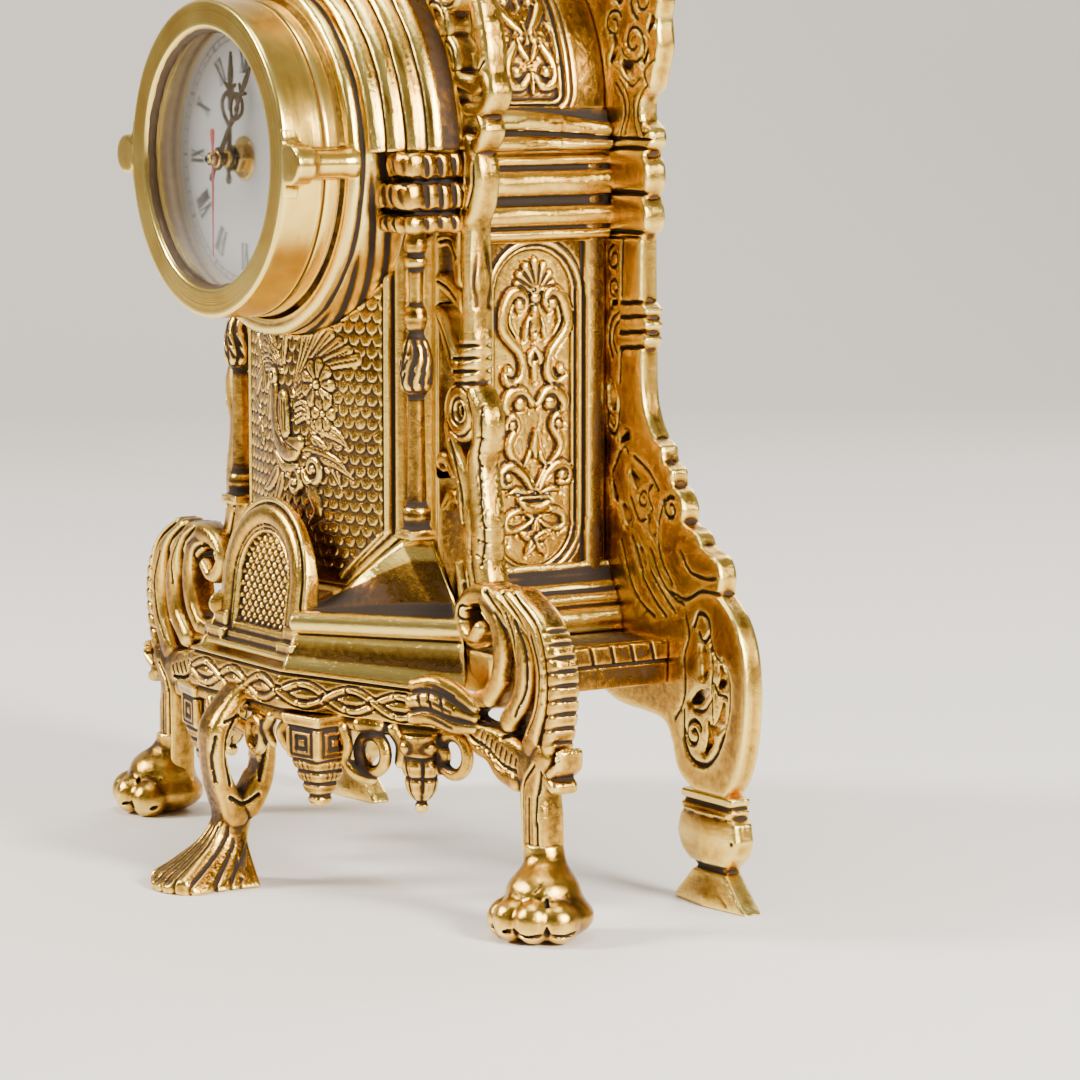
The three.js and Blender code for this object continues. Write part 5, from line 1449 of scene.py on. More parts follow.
def wing():
    """Openwork wing: scrolls, leaves and ring eyes round a turned stile, 7.5 mm thick."""
    s = Sketch((48.0, 90.0), (106.0, 354.0), 0.55)
    strands_of_metal = [
        # oval eyes and the scroll at the top
        (arc((61, 312), 8.6, 0, 360, 3.4), 2.0), (arc((67, 299), 8.2, -160, 200, 3.0), 1.8),
        (arc((70, 326), 7.0, 60, 330, 2.8), 1.8), (arc((66, 288), 6.2, 0, 360, 2.5), 1.5),
        (smooth([(60, 346, 3.4), (67, 342, 4.2), (78, 334, 4.6), (86, 323, 4.4), (91, 312, 3.6)]), 2.4),
        (smooth([(91, 312, 3.6), (93, 302, 4.0), (91, 292, 4.4), (82, 292.5, 3.4), (73, 294, 3.0)]), 2.2),
        (smooth([(93, 296, 4.0), (96.4, 289, 3.6), (93, 284, 3.2), (83, 283, 2.6)]), 2.2),
        (smooth([(76, 283, 2.4), (75.5, 274, 3.2), (80, 270.5, 3.2), (88, 271, 3.4), (93, 276, 2.6),
                 (90, 282, 2.0)]), 2.0),
        # broad leaf beside the capital, and the stile below it
        (smooth([(84, 272, 3.6), (86, 262, 5.6), (84.5, 252, 5.8), (81.5, 244, 4.2)]), 2.6),
        (smooth([(77, 268, 3.4), (78.5, 256, 4.2), (77.5, 244, 4.0), (75.5, 234, 4.0),
                 (77.5, 224, 4.2)]), 1.8),
        (smooth([(82, 246, 3.6), (82.2, 234, 3.8), (83, 222, 3.8), (82.6, 211, 4.2), (82, 200, 5.0)]),
         2.4),
        (smooth([(62, 236, 2.6), (70, 237, 3.0), (76, 232, 3.4)]), 1.4),
        (smooth([(60, 223, 2.4), (66, 221.5, 3.2), (72, 219, 3.6), (79, 215, 4.0)]), 1.8),
        (smooth([(60, 212, 2.4), (65, 208, 3.0), (69, 200, 3.2), (75, 191, 4.0)]), 1.8),
        (smooth([(82, 203, 5.2), (81.6, 194, 5.4), (80.5, 184, 5.4)]), 2.4),
        (arc((78, 177), 6.6, 0, 360, 4.8), 2.2),
        (smooth([(86, 183, 4.0), (90, 176, 4.6), (90, 167, 4.4), (87, 160, 4.6), (88, 150, 5.0),
                 (90, 140, 5.2), (90, 130, 5.4), (91, 121, 5.2), (95, 111, 5.4), (99.6, 104, 4.4)]), 2.6),
        (smooth([(70, 171, 3.6), (73, 162, 4.0), (78, 154, 4.4), (79, 145, 4.4), (82, 138, 4.4),
                 (83, 130, 5.0)]), 2.0),
        (smooth([(60, 153, 1.6), (62, 158, 2.2), (67, 159, 2.6), (72, 155, 2.6)]), 1.6),
        (smooth([(66, 142, 1.8), (70, 146, 2.6), (75, 146, 2.8)]), 1.6),
        (smooth([(84, 126, 5.4), (87, 116, 5.6), (90, 106, 5.0), (94, 99, 3.6)]), 2.2),
        (smooth([(78, 100, 3.6), (84, 98, 4.8), (92, 99, 4.6)]), 1.8),
        (smooth([(76, 122, 2.4), (79, 112, 3.4), (81, 102, 4.0)]), 1.8),
    ]
    for rows, height in strands_of_metal:
        s.bar(rows, height, k=1.2)
    for rows in (line((84, 262), (81, 250), (79.4, 240), (79.6, 228), (80.4, 216), (78.6, 206),
                      width=0.8),
                 line((88.6, 264), (88, 256), (85, 249), width=0.6),
                 line((83, 268), (82.6, 258), (80.4, 250), width=0.6),
                 line((73.4, 262), (73.6, 250), (72, 242), width=0.7),
                 line((86.4, 240), (86, 226), (86.6, 214), width=0.5),
                 line((92, 321), (84, 331), (74, 340), (62, 346), width=0.7),
                 line((87, 315), (80, 326), (70, 335), width=0.7),
                 line((95, 300), (90, 296), (78, 296.4), width=0.7),
                 line((94, 289.5), (88, 287.4), (82, 288), width=0.6),
                 line((80, 276), (86, 275), (90, 278), width=0.6),
                 line((63, 222), (70, 220), (76, 216), width=0.6),
                 line((62, 210), (67, 204), (72, 195), width=0.6),
                 line((64, 236), (71, 236.5), (76, 231), width=0.6),
                 line((84, 183), (86.4, 176), (85.4, 168), (82.5, 160), (84, 150), (86, 138),
                      (86.4, 127), width=0.8),
                 line((92.4, 180), (93, 170), (90.5, 160), (92, 148), (94, 136), (93.4, 124), width=0.6),
                 line((72, 166), (76, 158), (79.6, 148), (80.4, 138), width=0.7),
                 line((87, 124), (91, 114), (97, 105.5), width=0.8),
                 line((84, 120), (87, 110), (92, 102), width=0.7),
                 line((80, 116), (83, 107), (87, 100), width=0.6),
                 line((69, 157), (74, 151), (76.5, 144), width=0.6)):
        s.groove(rows, 1.5)
    for z in (187.0, 191.3, 195.8, 200.2):
        s.groove(line((73.5, z - 0.6), (90, z + 0.8), width=0.75), 1.9)
    for radius, width in ((4.6, 0.5), (2.7, 0.55), (8.9, 0.5)):
        s.groove(arc((78, 177), radius, 0, 360, width), 1.4)
    for centre, radius in (((61, 312), 8.3), ((67, 299), 8.0), ((70, 326), 7.2)):
        s.groove(arc(centre, radius, 0, 360, 0.6), 1.3)
    for k in range(9):
        z = 168 - 5.2 * k
        x = 94.2 - 1.5 * math.sin(k * 0.9)
        s.groove(line((x - 2.4, z + 1.2), (x + 3.5, z - 0.8), width=0.45), 0.9)
    for rows in ([(64, 230.3, 3.4), (67.5, 230, 3.2)], [(70, 229, 1.8), (71.8, 228, 1.0)]):
        s.cut(np.array(rows, float))
    points, faces, hollow = s.slab(WING_THICK / 2 - 0.8, edge=1.2, two_sided=True)
    u, v, w = points.T
    y = WING_FRONT + WING_THICK / 2 - w
    x = np.where((v < 266) & (v > 118), np.maximum(u, 62.4), u)
    floor_x = np.sqrt(np.clip(61.9 ** 2 - (v - VAULT_SPRING) ** 2, 0, None))
    x = np.where(v > VAULT_SPRING, np.maximum(x, floor_x), x)
    pair("wing", np.column_stack([x, y, v]), faces, hollow, FILED, level=-0.06)


def column():
    """Slim column with a leafy swelling and a knob, on a square base."""
    block = Block((53.0, -19.0, 130.0), (75.5, 3.2, 241.0), 0.42)
    cx, cy = 64.5, -7.2
    levels = [(131, 7.2), (134.2, 7.2), (135.6, 5.6), (138.6, 6.4), (141.5, 6.2), (143.4, 4.6),
              (146, 4.4), (165, 3.9), (181.6, 3.7), (183, 5.0), (185.2, 6.6), (190, 7.4), (195, 7.2),
              (200, 5.6), (202.6, 4.0), (204.5, 3.4), (206.4, 4.4), (209.6, 5.2), (212.6, 4.4),
              (214.4, 3.2), (219, 3.2), (226.6, 3.5), (228.6, 5.2), (230.2, 5.2), (231.6, 3.6),
              (233.4, 4.8), (235.4, 5.2), (237.6, 4.8), (239.6, 4.2)]
    x, y, z = block.grid()
    r = np.hypot(x - cx, y - cy)
    turn = np.arctan2(y - cy, x - cx)
    radius = radius_at(z, levels) * 0.8
    leafy = (z > 184) & (z < 202)
    flute = np.where(leafy, 0.75 * np.abs(np.sin(turn * 4 + 0.6 * np.sin((z - 184) * 0.35))) - 0.35, 0)
    flat = np.maximum(np.abs(x - cx), np.abs(y - cy))
    value = np.where(z < 134.4, flat, r) - radius - flute
    block.field[:] = smooth_max(value, np.maximum(131 - z, z - 239.6), 0.4)
    for z0 in (187, 191.5, 196.5):
        for k in range(10):
            a = 2 * math.pi * (k + 0.5 * (z0 % 2)) / 10
            here = (cx + 5.9 * math.cos(a), cy + 5.9 * math.sin(a))
            there = (cx + 6.0 * math.cos(a + 0.3), cy + 6.0 * math.sin(a + 0.3))
            block.tube([(*here, z0, 0.55), (*there, z0 + 3.4, 0.4)], 0.4, cut=True)
    # The darker brass here is painted shade: the column stands back in shadow.
    pair("column", *block.mesh(), SHADED_BRASS)


def capital():
    """Three lumpy, hand-shaped layers with deep dark seams between them."""
    block = Block((48.5, -23.5, 239.0), (82.6, 3.2, 269.0), 0.5)
    layers = [(240.2, 246.6, 0.2), (248.2, 257.6, -1.0), (259.4, 268.0, 0.0)]
    for k, (low, high, inset) in enumerate(layers):
        block.brick((50.5, -19.6 + inset, low), (80.0 - inset * 0.5, 2.7, high), k=0.3, round_by=2.2)
    block.brick((52.6, -15.6, 240.4), (77.4, 2.6, 267.6), k=0.3)
    random = np.random.default_rng(8)
    for low, high, inset in layers:
        middle = (low + high) / 2
        half = (high - low) / 2
        for x in np.arange(53, 80, 5.4):
            spot = (x + random.uniform(-1, 1), -19.3 + inset, middle + random.uniform(-0.6, 0.6))
            block.ball(spot, (3.4, 2.0, half * 0.92), k=1.4, turn=random.uniform(-14, 14))
        for y in np.arange(-16, 1, 5.6):
            spot = (79.4 - inset * 0.5, y + random.uniform(-1, 1), middle + random.uniform(-0.6, 0.6))
            block.ball(spot, (1.9, 3.2, half * 0.92), k=1.4)
        for x in np.arange(55.6, 80, 5.4):
            x += random.uniform(-0.8, 0.8)
            y = inset - 21.2
            block.tube([(x, y, high - 0.6, 0.8), (x + 1.2, y, low + 0.8, 0.7)], 0.7, cut=True)
        for y in np.arange(-13, 1, 5.6):
            block.tube([(81.2, y, high - 0.6, 0.8), (81.2, y + 1.0, low + 0.8, 0.7)], 0.7, cut=True)
    for z, wave in ((247.4, 0.5), (258.5, 0.7)):
        front = [(x, -20.2 + 0.4 * math.sin(x), z + wave * math.sin(x * 0.7), 1.1)
                 for x in np.arange(49, 82, 1.5)]
        side = [(80.8, y, z + wave * math.sin(y * 0.8 + 2), 1.1) for y in np.arange(-20, 3, 1.5)]
        block.tube(front, 0.5, cut=True)
        block.tube(side, 0.5, cut=True)
    x, y, z = block.grid()
    from_dial = np.hypot(x, z - DIAL_HEIGHT)
    block.field = smooth_max(block.field, COLLAR_RADIUS + 0.4 - from_dial, 0.4)
    ear = np.hypot(x - EAR_X, z - DIAL_HEIGHT)
    block.field = smooth_max(block.field, 6.3 - ear, 0.4)
    block.field = smooth_max(block.field, y - 2.7, 0.3).astype(np.float32)
    # The capital takes the same darker brass, which is painted shade.
    pair("capital", *block.mesh(), SHADED_BRASS)


# ---- Legs ----

def front_leg():
    """Scrolled leg with three leafy bands, a row of notches down its edge, and a lion's paw."""
    s = Sketch((80.0, 12.0), (156.0, 124.0), 0.5)
    spine = [(101, 103, 3.0), (96, 99, 3.0), (90, 102, 3.4), (88.6, 108, 3.4), (94, 113.5, 3.6),
             (103, 115, 4.4), (114, 113, 5.4)]
    s.bar(smooth(spine), 3.2)
    for shift, rows in ((0.0, [(106, 111, 4.6), (112.5, 105.6, 4.4), (114.6, 96, 4.2),
                               (112.4, 86.4, 4.2), (106.4, 79, 3.8)]),
                        (1.0, [(112, 114.4, 4.4), (122.6, 106.6, 4.8), (128.6, 95, 4.6), (127, 82, 4.6),
                               (118.4, 72.6, 4.4)]),
                        (2.0, [(120, 115, 4.2), (134.4, 107, 5.0), (141, 95, 5.0), (140.6, 80, 5.0),
                               (133, 66, 5.2)])):
        s.bar(smooth(rows), 3.2 - 0.35 * shift, k=1.0)
    s.bar(smooth([(124, 117, 2.4), (138, 109, 3.0), (146.5, 96, 3.4), (147, 80, 3.4), (143.6, 67, 3.4)]),
          2.0, k=1.0)
    s.bar(smooth([(106, 79, 4.0), (98, 77, 3.6), (90.6, 71.6, 3.0), (86.6, 67, 2.0)]), 2.6)
    s.bar(smooth([(89, 73, 2.6), (96, 66, 5.0), (107, 63, 6.4), (118, 61, 7.0), (130, 58, 7.0)]), 2.4,
          k=1.5)
    s.bar(smooth([(86, 75, 2.4), (91.6, 68.6, 2.8), (98, 61, 3.0), (107, 58.6, 3.0), (114, 53.6, 3.2),
                  (123, 52, 4.0)]),
          2.6, k=1.0)
    s.bar(smooth([(140, 62, 5.4), (133.4, 52, 6.8), (134, 40, 7.2), (134.6, 28, 7.0), (136.4, 15, 8.2)]),
          2.4, k=1.5)
    s.bar(smooth([(146, 58, 2.2), (150.4, 61, 2.2), (151.4, 65.4, 1.8)]), 2.2)
    s.bar(smooth([(143.6, 55.6, 3.0), (147.4, 53.4, 2.6)]), 2.0)
    for rows, depth in ((line((94, 108.6), (101, 110.6), (107.6, 107), (110, 100), width=0.8), 2.2),
                        (line((107, 116.6), (117.4, 109), (121.6, 98), (120.6, 87), (114, 77.6),
                              (106, 74), width=1.15), 3.2),
                        (line((116, 117), (129, 108.4), (134.9, 96), (134, 82), (126.4, 71), (116, 66.6),
                              width=1.0), 3.0),
                        (line((124, 117.4), (138.6, 108), (144.2, 95), (144.2, 81), (139, 68),
                              width=0.9), 2.4),
                        (line((113, 110.5), (117, 104), (118.4, 95), (116.6, 86), width=0.45), 1.0),
                        (line((125, 109), (131.4, 98), (131.4, 85), (125, 75), width=0.5), 1.2),
                        (line((120, 111), (125.4, 103), (126, 93), width=0.45), 1.0),
                        (line((136, 105), (141, 93), (139, 80), (133, 70), width=0.45), 1.0),
                        (line((92, 71), (100, 69.4), (110, 69.4), (119, 67.4), width=0.6), 1.8),
                        (line((90, 69.6), (97, 64), (107, 61.6), (117, 57), (126, 56), width=0.8), 2.2),
                        (line((138, 60), (131, 52), (130.4, 40), (130.6, 28), (131, 17), width=0.65),
                         1.8),
                        (line((141.4, 58), (138.2, 48), (138.8, 36), (139.4, 24), (141, 15), width=0.6),
                         1.5),
                        (line((134.6, 48), (134.6, 38), (134.8, 26), width=0.45), 0.8)):
        s.groove(rows, depth)
    for k in range(8):
        a = 0.55 - 0.2 * k
        foot = (104 + 3.2 * k, 66.8 - 0.9 * k)
        s.groove(smooth([(*foot, 0.45), (foot[0] - 2.4, foot[1] - 5.6, 0.45)]), 1.1)
    for centre, radius in (((91.5, 107), 3.4), ((150, 63.4), 2.0)):
        curl(s, centre, 30, 1.1, radius, radius * 0.3, 0.6, 0.45, 1.6)
    s.cut(smooth([(97, 92.6, 4.6), (101.5, 89.4, 5.4), (103.4, 95.4, 4.0)]))
    points, faces, hollow = leg_slab(s)
    x, z, w = points.T
    y = LEG_FRONT + 2.6 - w
    sweep = np.clip((104.5 - x) / 2.0, 0, 1)
    y = np.where(y > 2.7, y + (2.7 - y) * sweep, y)
    pair("front_leg", np.column_stack([x, y, z]), faces, hollow, BRASS)
    paw()


def leg_slab(sketch):
    """The leg's thickness, with its outer edge cut into a row of cross ribs."""
    step = sketch.step
    depth = LEG_BACK - LEG_FRONT - 2.6
    w = np.arange(-depth - 3 * step, sketch.rise.max() + 3.5 * step, step)
    u, v = sketch.grid()
    rib = 0.5 + 0.5 * np.cos(2 * np.pi * (v - 0.25 * u) / 4.9)
    outer = np.clip((u - 141) / 3.0, 0, 1) * np.clip((v - 66) / 4.0, 0, 1)
    cut = 1.15 * np.clip(1 - rib * 3.2, 0, 1) * outer
    face = sketch.rise[:, :, None]
    sides = smooth_max(w - face + cut[:, :, None] * 0.4, -depth - w, 1.8)
    field = smooth_max(sketch.plan[:, :, None] + cut[:, :, None], sides, 1.8)
    field = np.pad(field, 1, constant_values=2.0)
    return skin(field, [sketch.axes[0][0] - step, sketch.axes[1][0] - step, w[0] - step], step)


def paw():
    """Lion's paw: a leg stump, four toes with slits between, and a line round the pad."""
    block = Block((121.0, -23.0, -1.0), (163.5, 19.5, 34.0), 0.55)
    block.ball((141.6, -2.0, 8.0), (16.2, 16.6, 8.6), k=2.0)
    block.ball((140.6, -2.6, 15.5), (13.4, 13.0, 10.0), k=3.0)
    block.tube([(139.0, -0.6, 18, 9.6), (136.6, 0.6, 27, 7.2), (135.2, 0.6, 33, 6.8)], 3.0)
    toes = [(132.6, -12.6, 7.2, 6.4), (141.2, -15.0, 8.4, 6.8), (149.6, -12.2, 8.6, 6.6),
            (154.2, -4.8, 8.2, 6.2)]
    for x, y, z, r in toes:
        block.ball((x, y, z - 0.6), (r, r + 0.6, r + 0.9), k=1.4)
    for a, b in zip(toes[:-1], toes[1:]):
        x, y = (a[0] + b[0]) / 2, (a[1] + b[1]) / 2
        out = np.array([x - 141, y + 2.0])
        out /= np.linalg.norm(out)
        low = (x + out[0] * 5.4, y + out[1] * 5.4, 0.6, 1.1)
        high = (x - out[0] * 1.5, y - out[1] * 1.5, 17.6, 0.75)
        middle = (x + out[0] * 3.6, y + out[1] * 3.6, 9.0, 1.0)
        block.tube(smooth([low, middle, high]), 0.5, cut=True)
    ring = [(141.2 + 17.9 * math.cos(a), -2.0 + 18.3 * math.sin(a), 4.6 + 0.5 * math.sin(3 * a), 0.85)
            for a in np.linspace(-3.5, 0.9, 60)]
    block.tube(ring, 0.5, cut=True)
    for k, (x, y) in enumerate(((129.4, -9.0), (137.0, -14.6), (146.6, -13.6))):
        block.tube(smooth([(x, y, 14.6, 0.5), (x + 2.6, y + 2.6, 18.6, 0.4),
                           (x + 3.6, y + 5.5, 22.5, 0.3)]), 0.4, cut=True)
    z = block.grid()[2]
    block.field = smooth_max(block.field, -z, 0.8).astype(np.float32)
    block.field = smooth_max(block.field, z - 32.0, 0.5).astype(np.float32)
    pair("paw", *block.mesh(), BRASS, nodes=False)


def middle_leg():
    """Bracket with a round eye over a spreading, veined foot."""
    s = Sketch((-84.0, -1.0), (-28.0, 80.0), 0.45)
    s.bar(smooth([(-36, 73, 4.4), (-43, 70, 5.2), (-49, 65, 4.8), (-54.4, 58, 4.4), (-55.6, 49, 3.6),
                  (-54, 40, 4.0), (-51, 32, 4.6), (-48.5, 26, 5.4)]), 3.0, k=1.0)
    s.bar(smooth([(-34, 72, 3.4), (-33.6, 64, 3.6), (-34.8, 55, 3.2), (-35, 46, 3.6), (-37.4, 37, 4.4),
                  (-42, 29, 5.0)]),
          2.6, k=1.0)
    s.bar(smooth([(-55, 59, 2.4), (-49, 60.4, 2.6), (-43, 57.6, 2.8), (-36, 57, 2.6)]), 2.2, k=1.0)
    s.bar(smooth([(-47, 27, 6.0), (-50, 19, 6.4), (-56, 11.6, 6.2), (-64, 6.4, 5.4), (-72, 3.4, 3.6)]),
          1.5, k=1.5)
    s.fill([(-79, 0.3), (-79, 2.6), (-70, 8), (-60, 16), (-52, 24), (-44, 24), (-43.5, 12), (-43, 0.3)],
           k=1.5)
    for rows in (line((-41, 70), (-48, 64), (-52.4, 57), (-53.4, 48), (-52, 38), width=0.8),
                 line((-57.4, 56), (-58.4, 48), (-57, 39), width=0.6),
                 line((-36, 68), (-36.6, 58), (-37, 48), (-39.4, 38), width=0.7),
                 line((-52, 33), (-46, 30), (-40, 33), width=0.8),
                 line((-54, 61), (-47, 62.6), (-41, 60), width=0.6)):
        s.groove(rows, 1.8)
    s.cut(smooth([(-45.6, 47.8, 6.6), (-44.6, 44.4, 6.2)]))
    s.cut(smooth([(-46.4, 64.6, 1.5), (-42.6, 63.6, 2.4)]))
    s.cut(smooth([(-38.2, 64.0, 1.4), (-38.6, 61.4, 1.2)]))
    step = s.step
    w = np.arange(-24, 24 + step, step)
    u, v = s.grid()
    flare = 10.6 * np.clip((19.5 - v) / 19.5, 0, 1) ** 1.35
    half = 4.0 + s.rise + flare
    u, v = u[:, :, None], v[:, :, None]
    round_front = np.hypot(np.clip(-(u + 62.0), 0, None), w) - 17.4
    field = smooth_max(s.plan[:, :, None], np.abs(w) - half[:, :, None], 1.4)
    field = np.where(v < 20, smooth_max(field, round_front, 1.0), field)
    angle = np.arctan2(w, -u - 40.0)
    vein = notch((angle / 0.155) % 1, 0.5, 0.17)
    field = field + np.where((v < 22) & (u < -50), 0.75 * vein, 0)
    field = np.pad(field.astype(np.float32), 1, constant_values=2.0)
    points, faces, hollow = skin(field, [s.axes[0][0] - step, s.axes[1][0] - step, w[0] - step], step)
    y, z, x = points.T
    piece("middle_leg_cast", np.column_stack([x, y, z]), faces, hollow, BRASS, ["middle_leg"])


# ---- Turned parts about the dial ----

def turned(profile, first=0.0, last=360.0, steps=160, gap=0.7, wave=None, soft=1):
    """Rings of a closed section (radius, y) carried round the dial's axis; wave shifts the surface."""
    ring = dense(np.array(profile, float), gap, soft)
    whole = abs(last - first) >= 360
    angle = np.radians(np.linspace(first, last, steps + 1))
    if whole:
        angle = angle[:-1]
    r = np.broadcast_to(ring[:, 0], (len(angle), len(ring))).copy()
    y = np.broadcast_to(ring[:, 1], r.shape).copy()
    if wave is not None:
        dr, dy = wave(angle[:, None], r, y)
        r = r + dr
        y = y + dy
    grid = np.stack([r * np.cos(angle)[:, None], y, DIAL_HEIGHT + r * np.sin(angle)[:, None]], -1)
    return lattice(grid, closed=whole)


def arch_moulding():
    """Four rounded ridges from capital to capital, a little uneven, with dark grooves between."""
    def ridge(a, b, out):
        """Rounded top between two points of the profile, swelling out to the front."""
        (r0, y0), (r1, y1) = a, b
        rows = []
        for t in np.linspace(0, 1, 7):
            lift = out * math.sqrt(max(0.0, 1 - (2 * t - 1) ** 2))
            rows.append((r0 + (r1 - r0) * t, y0 + (y1 - y0) * t - lift))
        return rows

    front = [(64.6, -22.5), (65.0, -25.5), *ridge((65.2, -25.8), (69.4, -23.4), 2.4),
             (69.7, -20.6), *ridge((69.9, -21.2), (73.6, -17.8), 2.2),
             (73.9, -15.2), *ridge((74.1, -15.9), (78.0, -12.0), 2.2),
             (78.2, -9.6), *ridge((78.4, -10.2), (81.2, -7.4), 1.4)]
    back = [(81.2, -2.0), (81.2, 2.6), (76, 2.6), (73, -6.0), (69, -14.0), (64.6, -19.0)]

    def wave(angle, r, y):
        lump = 0.14 * np.sin(angle * 9 + r * 0.9) + 0.05 * np.sin(angle * 26 + r * 1.7)
        return lump * 0.4 * (r > 64.8), -lump * (y < -9)

    points, faces, hollow = turned(front + back, 3.4, 176.6, steps=240, gap=0.6, wave=wave)
    piece("arch_moulding_cast", points, faces, hollow, BRASS, ["arch_moulding"])


def collar():
    """Flared seat of the bezel on the case."""
    profile = [(58.2, -32.4), (62.4, -32.5), (63.6, -31.6), (64.0, -29.6), (63.2, -28.2), (63.9, -26.4),
               (63.9, -14.0), (63.9, -8.2), (58.0, -8.2), (57.8, -20.0), (58.0, -31.0)]

    def wave(angle, r, y):
        return (0.12 * np.sin(angle * 13 + y) + 0.08 * np.sin(angle * 31)) * (r > 62), 0.0

    points, faces, hollow = turned(profile, steps=200, wave=wave)
    piece("collar_cast", points, faces, hollow, BRASS, ["collar"])


def bezel():
    """Turned drum with a flat front, a sloping inner face, a seam near its back, and two rod ears."""
    profile = [(46.4, -55.4), (47.2, -56.2), (56.2, -56.3), (57.0, -55.6), (57.1, -40.2), (56.7, -39.8),
               (56.7, -39.0), (57.1, -38.6), (57.1, -33.6), (56.6, -33.0), (53.2, -33.0), (53.0, -45.0),
               (52.6, -50.6), (47.6, -51.6), (46.2, -52.6)]

    def wave(angle, r, y):
        return 0.05 * np.sin(angle * 9 + y * 0.5) * (r > 56.9), 0.06 * np.sin(angle * 7) * (y < -56)

    points, faces, hollow = turned(profile, steps=220, wave=wave, gap=0.6)
    piece("bezel_ring", points, faces, hollow, TURNED, ["bezel"], slot="polished_brass")
    bezel_ears()


def bezel_ears():
    """A rounded lug flush with the front of the ring and a rod behind it, blended into the drum."""
    block = Block((53.0, -57.5, DIAL_HEIGHT - 12.0), (70.4, -29.0, DIAL_HEIGHT + 12.0), 0.5)
    x, y, z = block.grid()
    up = z - DIAL_HEIGHT
    from_axis = np.hypot(x, up)
    from_rod = np.hypot(x - EAR_X, up)
    rod = from_rod - 5.2 - 0.6 * np.clip((y + 36) / 3.0, 0, 1)
    rod = smooth_max(rod, np.maximum(-55.0 - y, y + 30.4), 0.9)
    lug = smooth_min(from_rod - 6.9, from_axis - 57.1, 5.0)
    lug = smooth_max(lug, np.maximum(-56.25 - y, y + 49.6), 0.8)
    neck = smooth_max(from_axis - 57.6, np.abs(up) - 6.0, 1.0)
    neck = smooth_max(smooth_max(neck, y + 33.6, 0.6), -50.0 - y, 0.6)
    value = smooth_min(smooth_min(rod, neck, 2.6), lug, 3.5)
    block.field[:] = smooth_max(value, 55.6 - from_axis, 0.4)
    ring = [(EAR_X + 5.9 * math.cos(q), -37.4, DIAL_HEIGHT + 5.9 * math.sin(q), 0.5)
            for q in np.linspace(-2, 2, 24)]
    block.tube(ring, 0.3, cut=True)
    halves("bezel_ear", *block.mesh(), TURNED, slot="polished_brass")


def glue_line():
    """Dark, uneven line of old lacquer where the glass meets the bezel."""
    profile = [(45.0, -50.9), (45.6, -53.0), (46.3, -55.0), (47.2, -55.2), (47.4, -51.0)]

    def wave(angle, r, y):
        lump = 0.5 * np.sin(angle * 11 + 1) + 0.35 * np.sin(angle * 23) + 0.25 * np.sin(angle * 47)
        return -0.5 * np.abs(lump) * (r < 46), -0.3 * lump * (y < -54)

    points, faces, hollow = turned(profile, steps=220, wave=wave, gap=0.5)
    piece("glue_line", points, faces, None, GLUE, slot="polished_brass")


def glass():
    """Shallow domed crystal."""
    rim, dome, thick = 51.9, 4.1, 1.8
    radius = 52.2
    rows = []
    for r in np.linspace(0.3, radius, 30):
        rows.append((r, -rim - dome * 0.86 * (1 - (r / radius) ** 2)))
    back = [(r, y + thick) for r, y in rows[::-1]]
    points, faces, hollow = turned(rows + back, steps=120, gap=3.0, soft=0)
    piece("crystal_dome", points, faces, None, CRYSTAL, ["glass"], slot="crystal")


def spacer_ring():
    """Brass ring that holds the crystal off the dial."""
    profile = [(49.0, -49.8), (52.2, -49.9), (52.3, -39.6), (48.4, -39.6), (48.2, -44.0), (48.5, -48.6)]
    points, faces, hollow = turned(profile, steps=160)
    piece("spacer_ring_turned", points, faces, hollow, SPACER, ["spacer_ring"],
          slot="polished_brass")


# ---- Dial and hands ----

NUMERALS = ("XII", "I", "II", "III", "IIII", "V", "VI", "VII", "VIII", "IX", "X", "XI")
STROKES = {"I": (0.9, [((0, 0), (0, 1), 1.0)]),
           "V": (2.5, [((-0.85, 1), (0, 0), 1.15), ((0.85, 1), (0, 0), 0.45)]),
           "X": (2.5, [((-0.8, 1), (0.8, 0), 1.15), ((0.8, 1), (-0.8, 0), 0.42)])}
def flat_piece(name, shapes, low, high, material):
    """Flat shapes on the dial, each a list of corners (x, z), as thin closed prisms in one mesh."""
    points = []
    triangles = []
    for shape in shapes:
        ring = np.array(shape, float)
        n = len(ring)
        base = len(points)
        points += [(x, low, z) for x, z in ring] + [(x, high, z) for x, z in ring]
        middle = ring.mean(0)
        points += [(middle[0], low, middle[1]), (middle[0], high, middle[1])]
        for k in range(n):
            j = (k + 1) % n
            triangles += [(base + k, base + j, base + n + j), (base + k, base + n + j, base + n + k),
                          (base + j, base + k, base + 2 * n),
                          (base + n + k, base + n + j, base + 2 * n + 1)]
    place = np.array(points, float) + [0, 0, DIAL_HEIGHT]
    piece(name, place, [np.array(triangles)], None, material, slot="dial_paper")


def directions(degrees):
    """Outward and clockwise directions on the dial."""
    angle = math.radians(degrees)
    return np.array([math.sin(angle), math.cos(angle)]), np.array([math.cos(angle), -math.sin(angle)])


